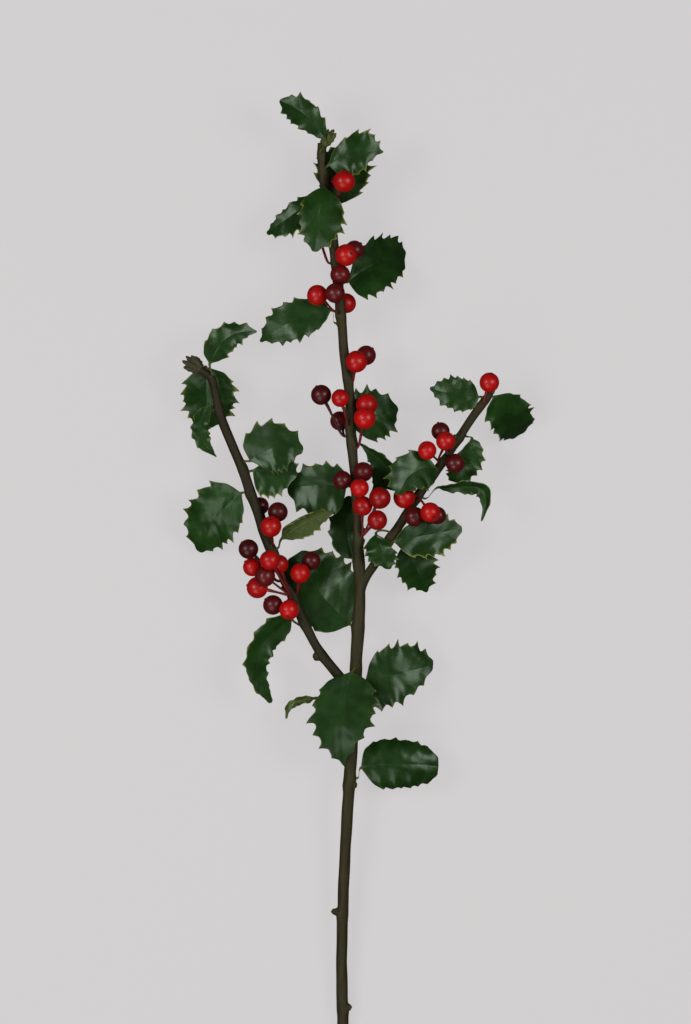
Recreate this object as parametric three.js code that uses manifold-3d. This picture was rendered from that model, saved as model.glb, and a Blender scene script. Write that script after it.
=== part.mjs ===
// A cut holly sprig lying on a table: one main stem with two side branches, thirty-two
// spiny-edged leaves and forty-four round berries in small bunches.  Every leaf and every
// bunch is a piece of its own, with a root that is plugged into a socket in the wood.
// Millimetres, +Z up.  The sprig lies along +Y with its cut end at -Y, the upper faces of
// most leaves look up, and the origin is on the table under the middle of the whole sprig.

import * as THREE from 'three';
import { mergeVertices } from 'three/addons/utils/BufferGeometryUtils.js';
import Module from 'manifold-3d';

const wasm = await Module();
wasm.setup();

// ---- driving dimensions ------------------------------------------------------------------

const ROOT_DEPTH = 1.4;         // how far a root is sunk into the wood
const ROOT_GAP = 0.3;           // air left round a root in its socket
const MOUTH = 0.5;              // how far a root runs straight out of its socket
const LEAF_ROOT_HALF = 0.55;    // half the width of a leaf stalk in its socket
const LEAF_SOCKET = 0.75;       // from the middle of a leaf stalk to its corner, in its socket
const STALK_RADIUS = 0.5;       // radius of a berry stalk, near its berry
const STALK_START = 0.8;        // girth of a berry stalk at its knuckle, as a part of the full one
const STALK_ROOT_RADIUS = 0.55; // radius of a berry stalk in its socket
const SOCKET_TOP = 1.6;         // how far a socket's cutter stands out past the inner end's depth
const BLADE_THICK = 0.8;        // leaf blade
const STALK_THICK = 1.0;        // leaf stalk, top to bottom
const STALK_EASE = 0.4;         // how gently a leaf stalk bends, as a part of its length
const STALK_MIDDLE = 0.6;       // where the bend of a leaf stalk has a station of its own
const STALK_MIDDLE_TURN = 0.4;  // how much of the turn is still to come there
const STALK_WIDENS = 0.15;      // how much wider a stalk is at the blade, on each side
const SPINE_HALF = 0.22;        // half the width of the spine at a leaf's tip
const SPINE_UNEVEN = 0.35;      // how far the spines of a leaf differ in length
const WAVE_LAG = 1.8;           // how far the right margin's waves trail the left one's, radians
const LEAF_COLUMNS = [-1, -0.5, 0, 0.5, 1]; // from the right margin to the left one
const STEM_SIDES = 8;
const BRANCH_SIDES = 7;
const KNUCKLE_RADIUS = 0.65;    // where the stalks of a bunch part
const KNUCKLE_RISE = 0.5;
const KNUCKLE_SIDES = 5;
const STALK_FLARE = 0.9;        // where a stalk begins to widen, before its berry
const BERRY_SIDES = 6;
const BERRY_RINGS = [28, 68, 108, 150]; // degrees from the stalk, round a berry
const SOCKET_SIDES = 4;
const STUB_SIDES = 6;
const STUB_START = 0.5;         // where a twig stub starts, as a part of the wood's radius
const STUB_FOOT = 1.25;         // its girth there, as a part of its named radius
const STUB_END = 0.9;           // the same, at its flat end
const SCALE_SIDES = 4;
const SCALE_FULL = 0.85;        // girth of a bud scale, as a part of the bud's
const SCALE_SHOULDER = 0.6;     // the part of a scale's length that keeps that girth
const SCALE_POINT = 0.14;       // girth of a scale's point, as a part of the bud's

// The tables of this file are written about the middle of the main stem; every piece is then
// moved by this much, which brings the middle of the whole sprig over the origin.
const CENTRING = [-1.6, 1.81, 0];

const WOOD = new THREE.MeshStandardMaterial({ color: 0x33301f, roughness: 0.75, metalness: 0 });
const LEAF = new THREE.MeshStandardMaterial({ color: 0x1f4220, roughness: 0.35, metalness: 0 });
const RED = new THREE.MeshStandardMaterial({ color: 0xb8100f, roughness: 0.2, metalness: 0 });
const DARK = new THREE.MeshStandardMaterial({ color: 0x3d1213, roughness: 0.2, metalness: 0 });

// The wood: points of an axis from the thick end to the tip, each [y, x, z, radius].
const MAIN = [
  [-253, -5.5, 3, 3], [-213, -6, 4.6, 2.9], [-176, -6.5, 8, 2.75], [-126, -4.8, 13, 2.75],
  [-83, -2.2, 17.5, 2.95], [-44, 0.1, 21, 3], [-26, 0.9, 22, 3.1], [-1, 2.4, 23, 2.9],
  [29, 1.7, 24, 2.5], [54, 0.7, 24.6, 2.5], [79, -1.8, 25.2, 2.45], [101, -2.6, 25.6, 2.45],
  [123, -5.4, 26, 2.45], [142, -7, 26.4, 2.4], [167, -9.7, 26.8, 2.4], [181, -11, 27, 2.35],
  [190, -10.8, 27, 2.3], [202, -14.5, 27, 2.25], [215, -16, 27, 2.25], [225, -16.4, 27, 2.2],
];
const LEFT = [
  [-46, -1.4, 21, 2.4], [-40, -6.3, 21.4, 2.4], [-30, -14.5, 22, 2.35], [-20, -20.9, 22.4, 2.4],
  [-8, -26.6, 22.8, 2.45], [4.5, -32.2, 23, 2.5], [17, -37.8, 23.2, 2.5], [27, -42.6, 23.4, 2.5],
  [46.5, -49.4, 23.6, 2.5], [66, -56.3, 24, 2.4], [86, -64.8, 24.4, 2.3], [96, -67.6, 24.6, 2.1],
  [104, -69.5, 24.8, 1.9], [110.5, -72, 25, 1.85], [114, -78, 25, 1.75],
];
const RIGHT = [
  [-4, 1.8, 23.4, 2.2], [5, 3.2, 23.7, 2.3], [11.5, 6, 23.9, 2.3], [16.5, 9.2, 24, 2.3],
  [25, 14.6, 24.2, 2.3], [36, 21.6, 24.4, 2.25], [45, 27.4, 24.5, 2.25], [53, 32.4, 24.5, 2.2],
  [61, 38.5, 24.4, 2.1], [70, 45.2, 24.2, 2.05], [78, 50.5, 24, 2], [92, 59.6, 23.4, 1.9],
  [102, 67, 23, 1.75],
];

// Cut-off side twigs and leaf scars: [wood, y, side, length, radius]
const STUBS = [
  [MAIN, -156, 190, 3.0, 1.5], [MAIN, -204, 5, 1.8, 1.6], [LEFT, -27, 205, 2.6, 1.9],
  [RIGHT, 79, 150, 1.6, 1.1], [MAIN, -92, 15, 1.0, 1.6], [MAIN, 101, 170, 0.9, 1.3],
];

// End buds: where each one starts, and its pointed scales as [lean sideways, lean up, length]
const BUDS = [
  { on: MAIN, y: 222.5, girth: 2.3,
    scales: [[0.4, 0.2, 10], [0.7, 0.1, 11], [1.05, 0.2, 10.3], [0.6, 0.5, 9]] },
  { on: LEFT, y: 112.6, girth: 2.2,
    scales: [[0.28, 0.1, 11], [0, 0.25, 11.5], [0.54, 0.2, 9.6], [0.8, 0, 8], [-0.27, 0.1, 9.6]] },
  { on: RIGHT, y: 99.5, girth: 1.3, scales: [[0.2, 0.1, 5.5], [-0.3, 0.2, 5]] },
];

// ---- the wood ----------------------------------------------------------------------------

// Point, direction and radius of a piece of wood at height y, smooth between its points.
function axisAt(wood, y) {
  let i = 0;
  while (i < wood.length - 2 && y > wood[i + 1][0]) i += 1;
  const [from, to] = [wood[i], wood[i + 1]];
  const span = to[0] - from[0];
  const t = (y - from[0]) / span;
  const slope = (j, k) => {
    const before = wood[Math.max(j - 1, 0)];
    const after = wood[Math.min(j + 1, wood.length - 1)];
    return span * (after[k] - before[k]) / (after[0] - before[0]);
  };
  const bend = (k) => {
    const [m0, m1] = [slope(i, k), slope(i + 1, k)];
    const drop = from[k] - to[k];
    const value = from[k] + t * (m0 + t * (-3 * drop - 2 * m0 - m1 + t * (2 * drop + m0 + m1)));
    const rate = m0 + t * (2 * (-3 * drop - 2 * m0 - m1) + 3 * t * (2 * drop + m0 + m1));
    return [value, rate / span];
  };
  const [x, dx] = bend(1);
  const [z, dz] = bend(2);
  return {
    point: new THREE.Vector3(x, y, z),
    along: new THREE.Vector3(dx, 1, dz).normalize(),
    radius: THREE.MathUtils.lerp(from[3], to[3], t),
  };
}

// Direction out of the wood, turned round its axis: 0 is to the right, 90 up, 180 to the left.
function outward(along, side) {
  const right = new THREE.Vector3().crossVectors(along, new THREE.Vector3(0, 0, 1)).normalize();
  const up = new THREE.Vector3().crossVectors(right, along);
  const angle = THREE.MathUtils.degToRad(side);
  return right.multiplyScalar(Math.cos(angle)).addScaledVector(up, Math.sin(angle));
}

// Where a root sits: its inner end, the mouth of its socket and the direction between them.
function rootAt(wood, y, side) {
  const { point, along, radius } = axisAt(wood, y);
  const out = outward(along, side);
  const inner = point.clone().addScaledVector(out, radius - ROOT_DEPTH);
  const mouth = point.clone().addScaledVector(out, radius + MOUTH);
  return { inner, mouth, out };
}

// A direction square to another one.
function squareTo(along) {
  const first = new THREE.Vector3(0, 0, 1).cross(along);
  if (first.length() < 0.05) first.set(1, 0, 0);
  return first.normalize();
}

// A round ring of points about a centre, square to a direction, starting at the side "first".
function ring(centre, along, radius, sides, first = squareTo(along)) {
  const second = new THREE.Vector3().crossVectors(along, first);
  return Array.from({ length: sides }, (_, i) => {
    const angle = 2 * Math.PI * i / sides;
    return centre.clone()
      .addScaledVector(first, radius * Math.cos(angle))
      .addScaledVector(second, radius * Math.sin(angle));
  });
}

function geometryOf(points, faces) {
  const geometry = new THREE.BufferGeometry();
  const numbers = points.flatMap((point) => point.toArray());
  geometry.setAttribute('position', new THREE.Float32BufferAttribute(numbers, 3));
  geometry.setIndex(faces.flat());
  return geometry;
}

// A closed skin through a row of rings, with a flat face at each end.
function loft(rings) {
  const sides = rings[0].length;
  const faces = [];
  for (let k = 0; k < rings.length - 1; k += 1) {
    for (let i = 0; i < sides; i += 1) {
      const [a, b] = [k * sides + i, k * sides + (i + 1) % sides];
      faces.push([a, b, b + sides], [a, b + sides, a + sides]);
    }
  }
  const last = (rings.length - 1) * sides;
  for (let i = 1; i < sides - 1; i += 1) {
    faces.push([0, i + 1, i], [last, last + i, last + i + 1]);
  }
  return geometryOf(rings.flat(), faces);
}

function solidOf(geometry) {
  const bare = geometry.clone();
  bare.deleteAttribute('normal');
  bare.deleteAttribute('uv');
  const merged = mergeVertices(bare, 1e-5);
  return new wasm.Manifold(new wasm.Mesh({
    numProp: 3,
    vertProperties: new Float32Array(merged.attributes.position.array),
    triVerts: new Uint32Array(merged.index.array),
  }));
}

function geometryOfSolid(solid) {
  const mesh = solid.getMesh();
  const geometry = new THREE.BufferGeometry();
  geometry.setAttribute('position', new THREE.BufferAttribute(mesh.vertProperties, 3));
  geometry.setIndex(new THREE.BufferAttribute(mesh.triVerts, 1));
  return geometry;
}

function joined(geometries) {
  return geometries.map(solidOf).reduce((whole, next) => whole.add(next));
}

function woodGeometry(wood, sides) {
  return loft(wood.map(([y]) => {
    const { point, along, radius } = axisAt(wood, y);
    return ring(point, along, radius, sides);
  }));
}

// A short cut-off twig or a leaf scar: a knob that narrows a little to its flat end.
function stubGeometry([wood, y, side, length, radius]) {
  const { point, along, radius: girth } = axisAt(wood, y);
  const out = outward(along, side);
  const at = (distance) => point.clone().addScaledVector(out, distance);
  return loft([
    ring(at(girth * STUB_START), out, radius * STUB_FOOT, STUB_SIDES),
    ring(at(girth + length), out, radius * STUB_END, STUB_SIDES),
  ]);
}

// A pointed scale leaf of an end bud, leaning away from the wood's direction.
function scaleGeometry(bud, [leanSide, leanUp, length]) {
  const { point, along } = axisAt(bud.on, bud.y);
  const aim = along.clone()
    .addScaledVector(outward(along, 0), leanSide)
    .addScaledVector(outward(along, 90), leanUp)
    .normalize();
  const at = (part) => point.clone().addScaledVector(aim, length * part);
  return loft([
    ring(at(0), aim, bud.girth * SCALE_FULL, SCALE_SIDES),
    ring(at(SCALE_SHOULDER), aim, bud.girth * SCALE_FULL, SCALE_SIDES),
    ring(at(1), aim, bud.girth * SCALE_POINT, SCALE_SIDES),
  ]);
}

// The hole that a root stands in, a gap wider than the root all round.
function socketGeometry({ inner, out }, radius) {
  const across = (radius + ROOT_GAP) / Math.cos(Math.PI / SOCKET_SIDES);
  const bottom = inner.clone().addScaledVector(out, -ROOT_GAP);
  const top = inner.clone().addScaledVector(out, ROOT_DEPTH + SOCKET_TOP);
  return loft([ring(bottom, out, across, SOCKET_SIDES), ring(top, out, across, SOCKET_SIDES)]);
}

// ---- leaves ------------------------------------------------------------------------------

// What every leaf shares, unless its own line says otherwise.  Lengths in mm, angles in degrees,
// arch, nod and bow as parts of the leaf's length.
const LEAF_SHAPE = {
  width: 20,    // across the longest spines
  teeth: 5,     // spines on each side
  bite: 0.18,   // how deep the margin is cut between spines
  sweep: 0.4,   // how far the spines point forward
  widest: 0.42, // where the blade is widest
  foot: 0.45,   // how square the blade's foot is: 1 is pointed, 0.3 nearly square
  taper: 0.75,  // the same at its tip
  slant: 0,     // how far the left half is pushed forward along the right one
  roll: 0,      // turn of the whole blade about its length
  twist: 0,     // further turn from base to tip
  arch: 0.1,    // rise of the midrib above the straight line from base to tip
  nod: 0,       // the same, but strongest near the tip
  bow: 0,       // sideways bend of the midrib, to the left seen from above
  hook: 0,      // the same, but strongest near the tip
  wider: 0,     // how much wider the left half is than the middle of the two, the right narrower
  fold: 6,      // rise of each half from the midrib
  curl: 0,      // further turn of each half from the midrib to its margin
  tuck: 0,      // the same, on the right half only
  wave: 1.0,    // height of the waves in the margin
  waves: 2.5,   // waves from base to tip
  phase: 0,     // where the first wave starts
};

// The straight line from base to tip with its sideways and upward directions.
function chordOf(leaf) {
  const base = new THREE.Vector3(...leaf.base);
  const chord = new THREE.Vector3(...leaf.tip).sub(base);
  const length = chord.length();
  const along = chord.clone().divideScalar(length);
  const up = new THREE.Vector3(0, 0, 1).addScaledVector(along, -along.z).normalize();
  const left = new THREE.Vector3().crossVectors(up, along);
  return { base, length, along, up, left };
}

// The midrib at the part a of the way from base to tip: its point and its own directions.
function midrib(leaf, chord, a) {
  const { base, length, along, up, left } = chord;
  const [rise, riseRate] = [4 * a * (1 - a), 4 - 8 * a];
  const [late, lateRate] = [6.75 * a * a * (1 - a), 6.75 * a * (2 - 3 * a)];
  const point = base.clone()
    .addScaledVector(along, length * a)
    .addScaledVector(up, length * (leaf.arch * rise + leaf.nod * late))
    .addScaledVector(left, length * (leaf.bow * rise + leaf.hook * late));
  const ahead = along.clone()
    .addScaledVector(up, leaf.arch * riseRate + leaf.nod * lateRate)
    .addScaledVector(left, leaf.bow * riseRate + leaf.hook * lateRate)
    .normalize();
  const normal = up.clone().addScaledVector(ahead, -up.dot(ahead)).normalize();
  normal.applyAxisAngle(ahead, THREE.MathUtils.degToRad(leaf.roll + leaf.twist * (a - 0.5)));
  const side = new THREE.Vector3().crossVectors(normal, ahead);
  return { point, ahead, normal, side };
}

// Half the width of the flat blade: a rounded oval, cut into forward-pointing spines.
function halfWidth(leaf, b, hand) {
  const round = Math.sin(Math.PI * b ** (Math.log(0.5) / Math.log(leaf.widest)));
  const oval = Math.max(round, 0) ** THREE.MathUtils.lerp(leaf.foot, leaf.taper, b);
  const tooth = b * (leaf.teeth + 1);
  const spine = Math.abs(2 * (tooth % 1) - 1) ** 3;
  const uneven = 1 + SPINE_UNEVEN * Math.sin(2.4 * Math.round(tooth) + 1.7 * hand + leaf.phase * 9);
  const stalk = THREE.MathUtils.lerp(LEAF_ROOT_HALF + STALK_WIDENS, SPINE_HALF, b);
  const half = leaf.width / 2 * (1 + leaf.wider * hand);
  return stalk + half * (oval * (1 - leaf.bite) + Math.sqrt(oval) * leaf.bite * spine * uneven);
}

// A point of the bent blade: a along the midrib, d out from it, left positive.
function bladePoint(leaf, chord, a, d) {
  const { point, normal, side } = midrib(leaf, chord, a);
  const half = leaf.width / 2;
  const out = Math.abs(d);
  const fold = THREE.MathUtils.degToRad(leaf.fold);
  const curl = THREE.MathUtils.degToRad(leaf.curl + (d < 0 ? leaf.tuck : 0) || 0.1);
  const turned = fold + curl * out / half;
  const across = (half / curl) * (Math.sin(turned) - Math.sin(fold));
  const rise = (half / curl) * (Math.cos(fold) - Math.cos(turned));
  const turn = 2 * Math.PI * (leaf.waves * a + leaf.phase) + (d < 0 ? WAVE_LAG : 0);
  const wave = leaf.wave * (out / half) ** 2 * Math.sin(turn);
  return point.addScaledVector(side, Math.sign(d) * across).addScaledVector(normal, rise + wave);
}

// The upper and lower skins of a blade, joined round the rim; both are cut into the same
// triangles, so that they never cross.
function slab(upper, lower) {
  const [rows, columns] = [upper.length, upper[0].length];
  const under = rows * columns;
  const faces = [];
  const quad = (a, b, c, d) => faces.push([a, b, c], [a, c, d]);
  for (let k = 0; k < rows - 1; k += 1) {
    for (let i = 0; i < columns - 1; i += 1) {
      const a = k * columns + i;
      const [b, c, d] = [a + columns, a + columns + 1, a + 1];
      quad(a, b, c, d);
      quad(a + under, d + under, c + under, b + under);
    }
    const [right, left] = [k * columns, k * columns + columns - 1];
    quad(right, right + under, right + columns + under, right + columns);
    quad(left + under, left, left + columns, left + columns + under);
  }
  const last = (rows - 1) * columns;
  for (let i = 0; i < columns - 1; i += 1) {
    quad(i, i + 1, i + 1 + under, i + under);
    quad(last + i + under, last + i + 1 + under, last + i + 1, last + i);
  }
  return geometryOf([...upper.flat(), ...lower.flat()], faces);
}

function leafGeometry(leaf) {
  const chord = chordOf(leaf);
  const root = rootAt(leaf.on, leaf.y, leaf.side);
  const start = midrib(leaf, chord, 0);
  const reach = STALK_EASE * chord.base.distanceTo(root.mouth);
  const stalk = new THREE.CubicBezierCurve3(
    root.mouth,
    root.mouth.clone().addScaledVector(root.out, reach),
    chord.base.clone().addScaledVector(start.ahead, -reach),
    chord.base,
  );
  const turn = new THREE.Quaternion().setFromUnitVectors(start.ahead, root.out);
  const [upper, lower] = [[], []];
  const stalkStation = (centre, turned) => {
    const part = new THREE.Quaternion().slerp(turn, turned);
    const side = start.side.clone().applyQuaternion(part);
    const normal = start.normal.clone().applyQuaternion(part);
    const at = (v, lift) => centre.clone()
      .addScaledVector(side, v * LEAF_ROOT_HALF)
      .addScaledVector(normal, lift * STALK_THICK / 2);
    upper.push(LEAF_COLUMNS.map((v) => at(v, 1)));
    lower.push(LEAF_COLUMNS.map((v) => at(v, -1)));
  };
  stalkStation(root.inner, 1);
  stalkStation(root.mouth, 1);
  stalkStation(stalk.getPoint(STALK_MIDDLE), STALK_MIDDLE_TURN);
  const parts = 2 * (leaf.teeth + 1);
  for (let k = 1; k <= parts; k += 1) {
    const b = k / parts;
    const [top, bottom] = [[], []];
    for (const v of LEAF_COLUMNS) {
      const half = halfWidth(leaf, b, Math.sign(v));
      const forward = leaf.sweep * (1 - b ** 3) * Math.abs(v) ** 1.5 + leaf.slant * v;
      const a = b + forward * half / chord.length;
      const at = (da, dd) => bladePoint(leaf, chord, a + da, v * half + dd);
      const here = at(0, 0);
      const ahead = at(0.01, 0).sub(at(-0.01, 0));
      const across = at(0, 0.2).sub(at(0, -0.2));
      const out = ahead.cross(across).normalize().multiplyScalar(BLADE_THICK / 2);
      top.push(here.clone().add(out));
      bottom.push(here.clone().sub(out));
    }
    upper.push(top);
    lower.push(bottom);
  }
  return slab(upper, lower);
}

// Each leaf: the wood it grows on, the height and side of its root, and its blade from base to
// tip.  The stem's own leaves come first, then those of the left and the right branch.
const LEAVES = [
  { name: 'leaf_top_left', on: MAIN, y: 220.5, side: 110, base: [-14.6, 226.8, 31.2], tip: [-37, 246, 30],
    width: 15, widest: 0.52, bow: -0.085, arch: 0.08 },
  { name: 'leaf_top_right', on: MAIN, y: 212.5, side: 60, base: [-12.8, 213.8, 31.5], tip: [14, 220, 32],
    width: 22.5, bow: 0.08, arch: 0.08, curl: -20, slant: 0.35, taper: 1.25, foot: 0.4, sweep: 0.3,
    wave: 1.5, waves: 3 },
  { name: 'leaf_top_back', on: MAIN, y: 196, side: -60, base: [-8.5, 195, 18.5], tip: [-3, 225, 9],
    width: 30, widest: 0.48, teeth: 6, sweep: 0.2, foot: 0.45 },
  { name: 'leaf_top_hanging', on: MAIN, y: 203.5, side: 110,
    base: [-15.5, 203, 31.5], tip: [-20.2, 171.2, 31],
    width: 24, arch: 0.16, curl: -15, wider: 0.12, widest: 0.34, foot: 0.3, taper: 0.7 },
  { name: 'leaf_top_side', on: MAIN, y: 198.5, side: 185, base: [-18, 198, 26.5], tip: [-43.5, 180.8, 19],
    width: 16, roll: 20, widest: 0.3, wider: 0.3 },
  { name: 'leaf_upper_right', on: MAIN, y: 157, side: 0, base: [-3, 157.5, 25], tip: [25, 169.5, 4.65],
    width: 29.5, arch: 0.12, teeth: 6, sweep: 0.2, wider: -0.05, roll: -14, taper: 0.35, foot: 0.35,
    widest: 0.45, bow: 0.08, slant: 0.6 },
  { name: 'leaf_upper_left', on: MAIN, y: 136, side: 175, base: [-12, 142.3, 24.5], tip: [-46.8, 127, 19],
    width: 21, arch: 0.08, nod: 0.04, bow: -0.065, teeth: 6, taper: 1, foot: 0.4, sweep: 0.25 },
  { name: 'leaf_mid_back', on: MAIN, y: 86, side: -70, base: [-1.5, 86, 19], tip: [21.5, 95.5, 9],
    width: 29, arch: 0.12, sweep: 0.05, widest: 0.38, foot: 0.28, taper: 0.9, bow: 0.04,
    slant: -0.1, wider: 0.05 },
  { name: 'leaf_mid_curled', on: MAIN, y: 75.5, side: 5, base: [3, 76, 25], tip: [21, 53.5, 20],
    width: 17, bow: 0.1, roll: 25, fold: 14, curl: 20, wider: -0.4, widest: 0.62, foot: 0.8 },
  { name: 'leaf_crown_left', on: MAIN, y: 57, side: 185, base: [-4.2, 56, 22], tip: [-33.5, 55, 15],
    width: 29, arch: 0.08, bow: -0.03, foot: 0.3, taper: 0.6, wider: 0.2, sweep: -0.1 },
  { name: 'leaf_crown_back', on: MAIN, y: 18, side: 205, base: [-1.2, 20, 20], tip: [-2.5, 51, 11],
    width: 18, teeth: 4, foot: 0.32, sweep: 0.05, bow: 0.08, arch: 0.04 },
  { name: 'leaf_fork_left', on: MAIN, y: -13, side: 200, base: [-3.5, -12, 18.5], tip: [-31.4, 22, 10],
    width: 39, arch: 0.05, teeth: 6, bow: 0.04, widest: 0.4, wider: -0.14, foot: 0.28, bite: 0.15,
    sweep: 0.15, taper: 0.5 },
  { name: 'leaf_low_front', on: MAIN, y: -33.5, side: 95, base: [-2, -36, 28], tip: [-5.7, -82.3, 26],
    width: 33, arch: 0.12, teeth: 6, bow: -0.055, sweep: 0.05, widest: 0.38, slant: -0.2,
    taper: 1.15, foot: 0.45, fold: 1, phase: 0.3 },
  { name: 'leaf_low_right', on: MAIN, y: -41, side: 0, base: [5.2, -40.8, 20], tip: [38.8, -32.3, 12],
    width: 31.5, arch: 0.08, teeth: 6, widest: 0.37, sweep: -0.1, foot: 0.25, slant: 0.35,
    taper: 0.65, wave: 1.6, waves: 3, fold: 3 },
  { name: 'leaf_lowest', on: MAIN, y: -88.5, side: 10, base: [3.2, -83.5, 19], tip: [41.4, -83, 15],
    width: 28.5, arch: 0.08, curl: -60, bite: 0.1, teeth: 6, bow: 0.04, widest: 0.36, foot: 0.25,
    taper: 0.35, sweep: 0.15, slant: -0.1, wave: 1.1, waves: 4.5 },
  { name: 'leaf_small_curled', on: MAIN, y: -51, side: 190, base: [-20.5, -49.3, 17], tip: [-34, -59.5, 16],
    width: 3.8, bow: -0.13, hook: -0.12, fold: 10, teeth: 2, curl: 20 },

  { name: 'leaf_left_crown', on: LEFT, y: 109.5, side: 60,
    base: [-71.3, 116.5, 28.5], tip: [-48.3, 132.2, 24],
    width: 14.5, bow: 0.19, arch: 0.1, curl: -20, widest: 0.35, taper: 0.9, wider: 0.05, foot: 0.28,
    sweep: 0.2 },
  { name: 'leaf_left_back', on: LEFT, y: 112.5, side: -90, base: [-74, 115, 17.4], tip: [-73.8, 85.5, 0.3],
    width: 28.5, arch: 0.1, widest: 0.38, sweep: 0.1, teeth: 6, slant: -0.05, foot: 0.28,
    taper: 0.6, wider: 0.12, wave: 1.4 },
  { name: 'leaf_left_hanging', on: LEFT, y: 94.5, side: 150,
    base: [-71.6, 96.2, 28], tip: [-68.4, 70.6, 27],
    width: 9, bow: -0.24, arch: 0.1, curl: -20, taper: 1 },
  { name: 'leaf_inner_upper', on: LEFT, y: 67, side: 15, base: [-51.6, 68.4, 25.4], tip: [-25.5, 73.5, 28],
    width: 28, bow: 0.15, arch: 0.1, sweep: 0.1, wave: 0.7, taper: 0.8, foot: 0.35, slant: -0.1,
    wider: 0.02 },
  { name: 'leaf_inner_lower', on: LEFT, y: 62, side: -10, base: [-50, 63.5, 23], tip: [-28.3, 61, 23],
    width: 24, arch: 0.06, foot: 0.28, widest: 0.35, slant: 0.3, wider: -0.1 },
  { name: 'leaf_left_outer', on: LEFT, y: 53, side: 175, base: [-56.4, 51.6, 24.6], tip: [-77.5, 22.5, 5],
    width: 29.5, bow: -0.08, arch: 0.1, teeth: 6, sweep: 0.1, widest: 0.4, foot: 0.28, taper: 0.8,
    slant: 0.12, wider: -0.08, wave: 1.8, fold: 3 },
  { name: 'leaf_left_twisted', on: LEFT, y: 23.5, side: 25, base: [-36, 29.7, 27.4], tip: [-10.7, 42.5, 26],
    width: 14.5, bow: 0.07, roll: 175, arch: 0.05, tuck: -150, teeth: 4, widest: 0.35, taper: 0.9,
    foot: 0.75 },
  { name: 'leaf_left_low', on: LEFT, y: -12, side: 195, base: [-31.6, -10.4, 22.5], tip: [-41.3, -51.7, 18],
    width: 14.5, bow: -0.28, roll: -20, teeth: 6, widest: 0.27, taper: 0.55, foot: 0.18, sweep: 0 },

  { name: 'leaf_tip_left', on: RIGHT, y: 98.5, side: 170, base: [61, 99.8, 24], tip: [37.2, 104.3, 21],
    width: 17.5, arch: 0.1, teeth: 6, sweep: 0, wider: -0.05, bow: 0.03, slant: -0.1, taper: 1,
    foot: 0.3 },
  { name: 'leaf_tip_right', on: RIGHT, y: 101, side: 5, base: [69.2, 100.2, 24], tip: [82.3, 81.6, 0.2],
    width: 23.5, arch: 0.12, sweep: 0.1, slant: 0.05, foot: 0.22, taper: 0.45, bow: 0.03, wave: 1.5,
    waves: 3 },
  { name: 'leaf_right_outer', on: RIGHT, y: 81.5, side: 0, base: [57.8, 78.9, 24.6], tip: [48, 58, 19],
    width: 14.5, bow: 0.08, arch: 0.1, wider: 0.2, foot: 0.4, taper: 0.5, widest: 0.5,
    slant: -0.5 },
  { name: 'leaf_right_curled', on: RIGHT, y: 51.5, side: -10, base: [42, 55.3, 23.5], tip: [62.5, 38.5, 24],
    width: 9, bow: 0.14, hook: 0.34, roll: 35, fold: 16, curl: 10, sweep: 0, widest: 0.6,
    taper: 1 },
  { name: 'leaf_right_inner', on: RIGHT, y: 62, side: 110, base: [39.8, 64, 30], tip: [21.2, 51, 38.5],
    width: 23, bow: -0.2, arch: 0.1, sweep: 0.2, foot: 0.3, slant: -0.25 },
  { name: 'leaf_fork_front', on: RIGHT, y: 27, side: 70, base: [19.3, 28.8, 28], tip: [53, 35, 19.5],
    width: 21, arch: 0.02, teeth: 6, roll: -3, wider: -0.12, taper: 0.65, foot: 0.4, slant: 0.15 },
  { name: 'leaf_fork_side', on: RIGHT, y: 32, side: 150, base: [10.5, 32, 28.5], tip: [16.6, 15, 30],
    width: 15, arch: 0.12, teeth: 4, wider: -0.15, slant: 0.3 },
  { name: 'leaf_fork_back', on: RIGHT, y: 30, side: -30, base: [24.5, 27.5, 19], tip: [36, 3.2, 8],
    width: 21, arch: 0.1, sweep: 0.3, taper: 1, widest: 0.38, wider: 0.05 },
];

// ---- berries -----------------------------------------------------------------------------

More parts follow.
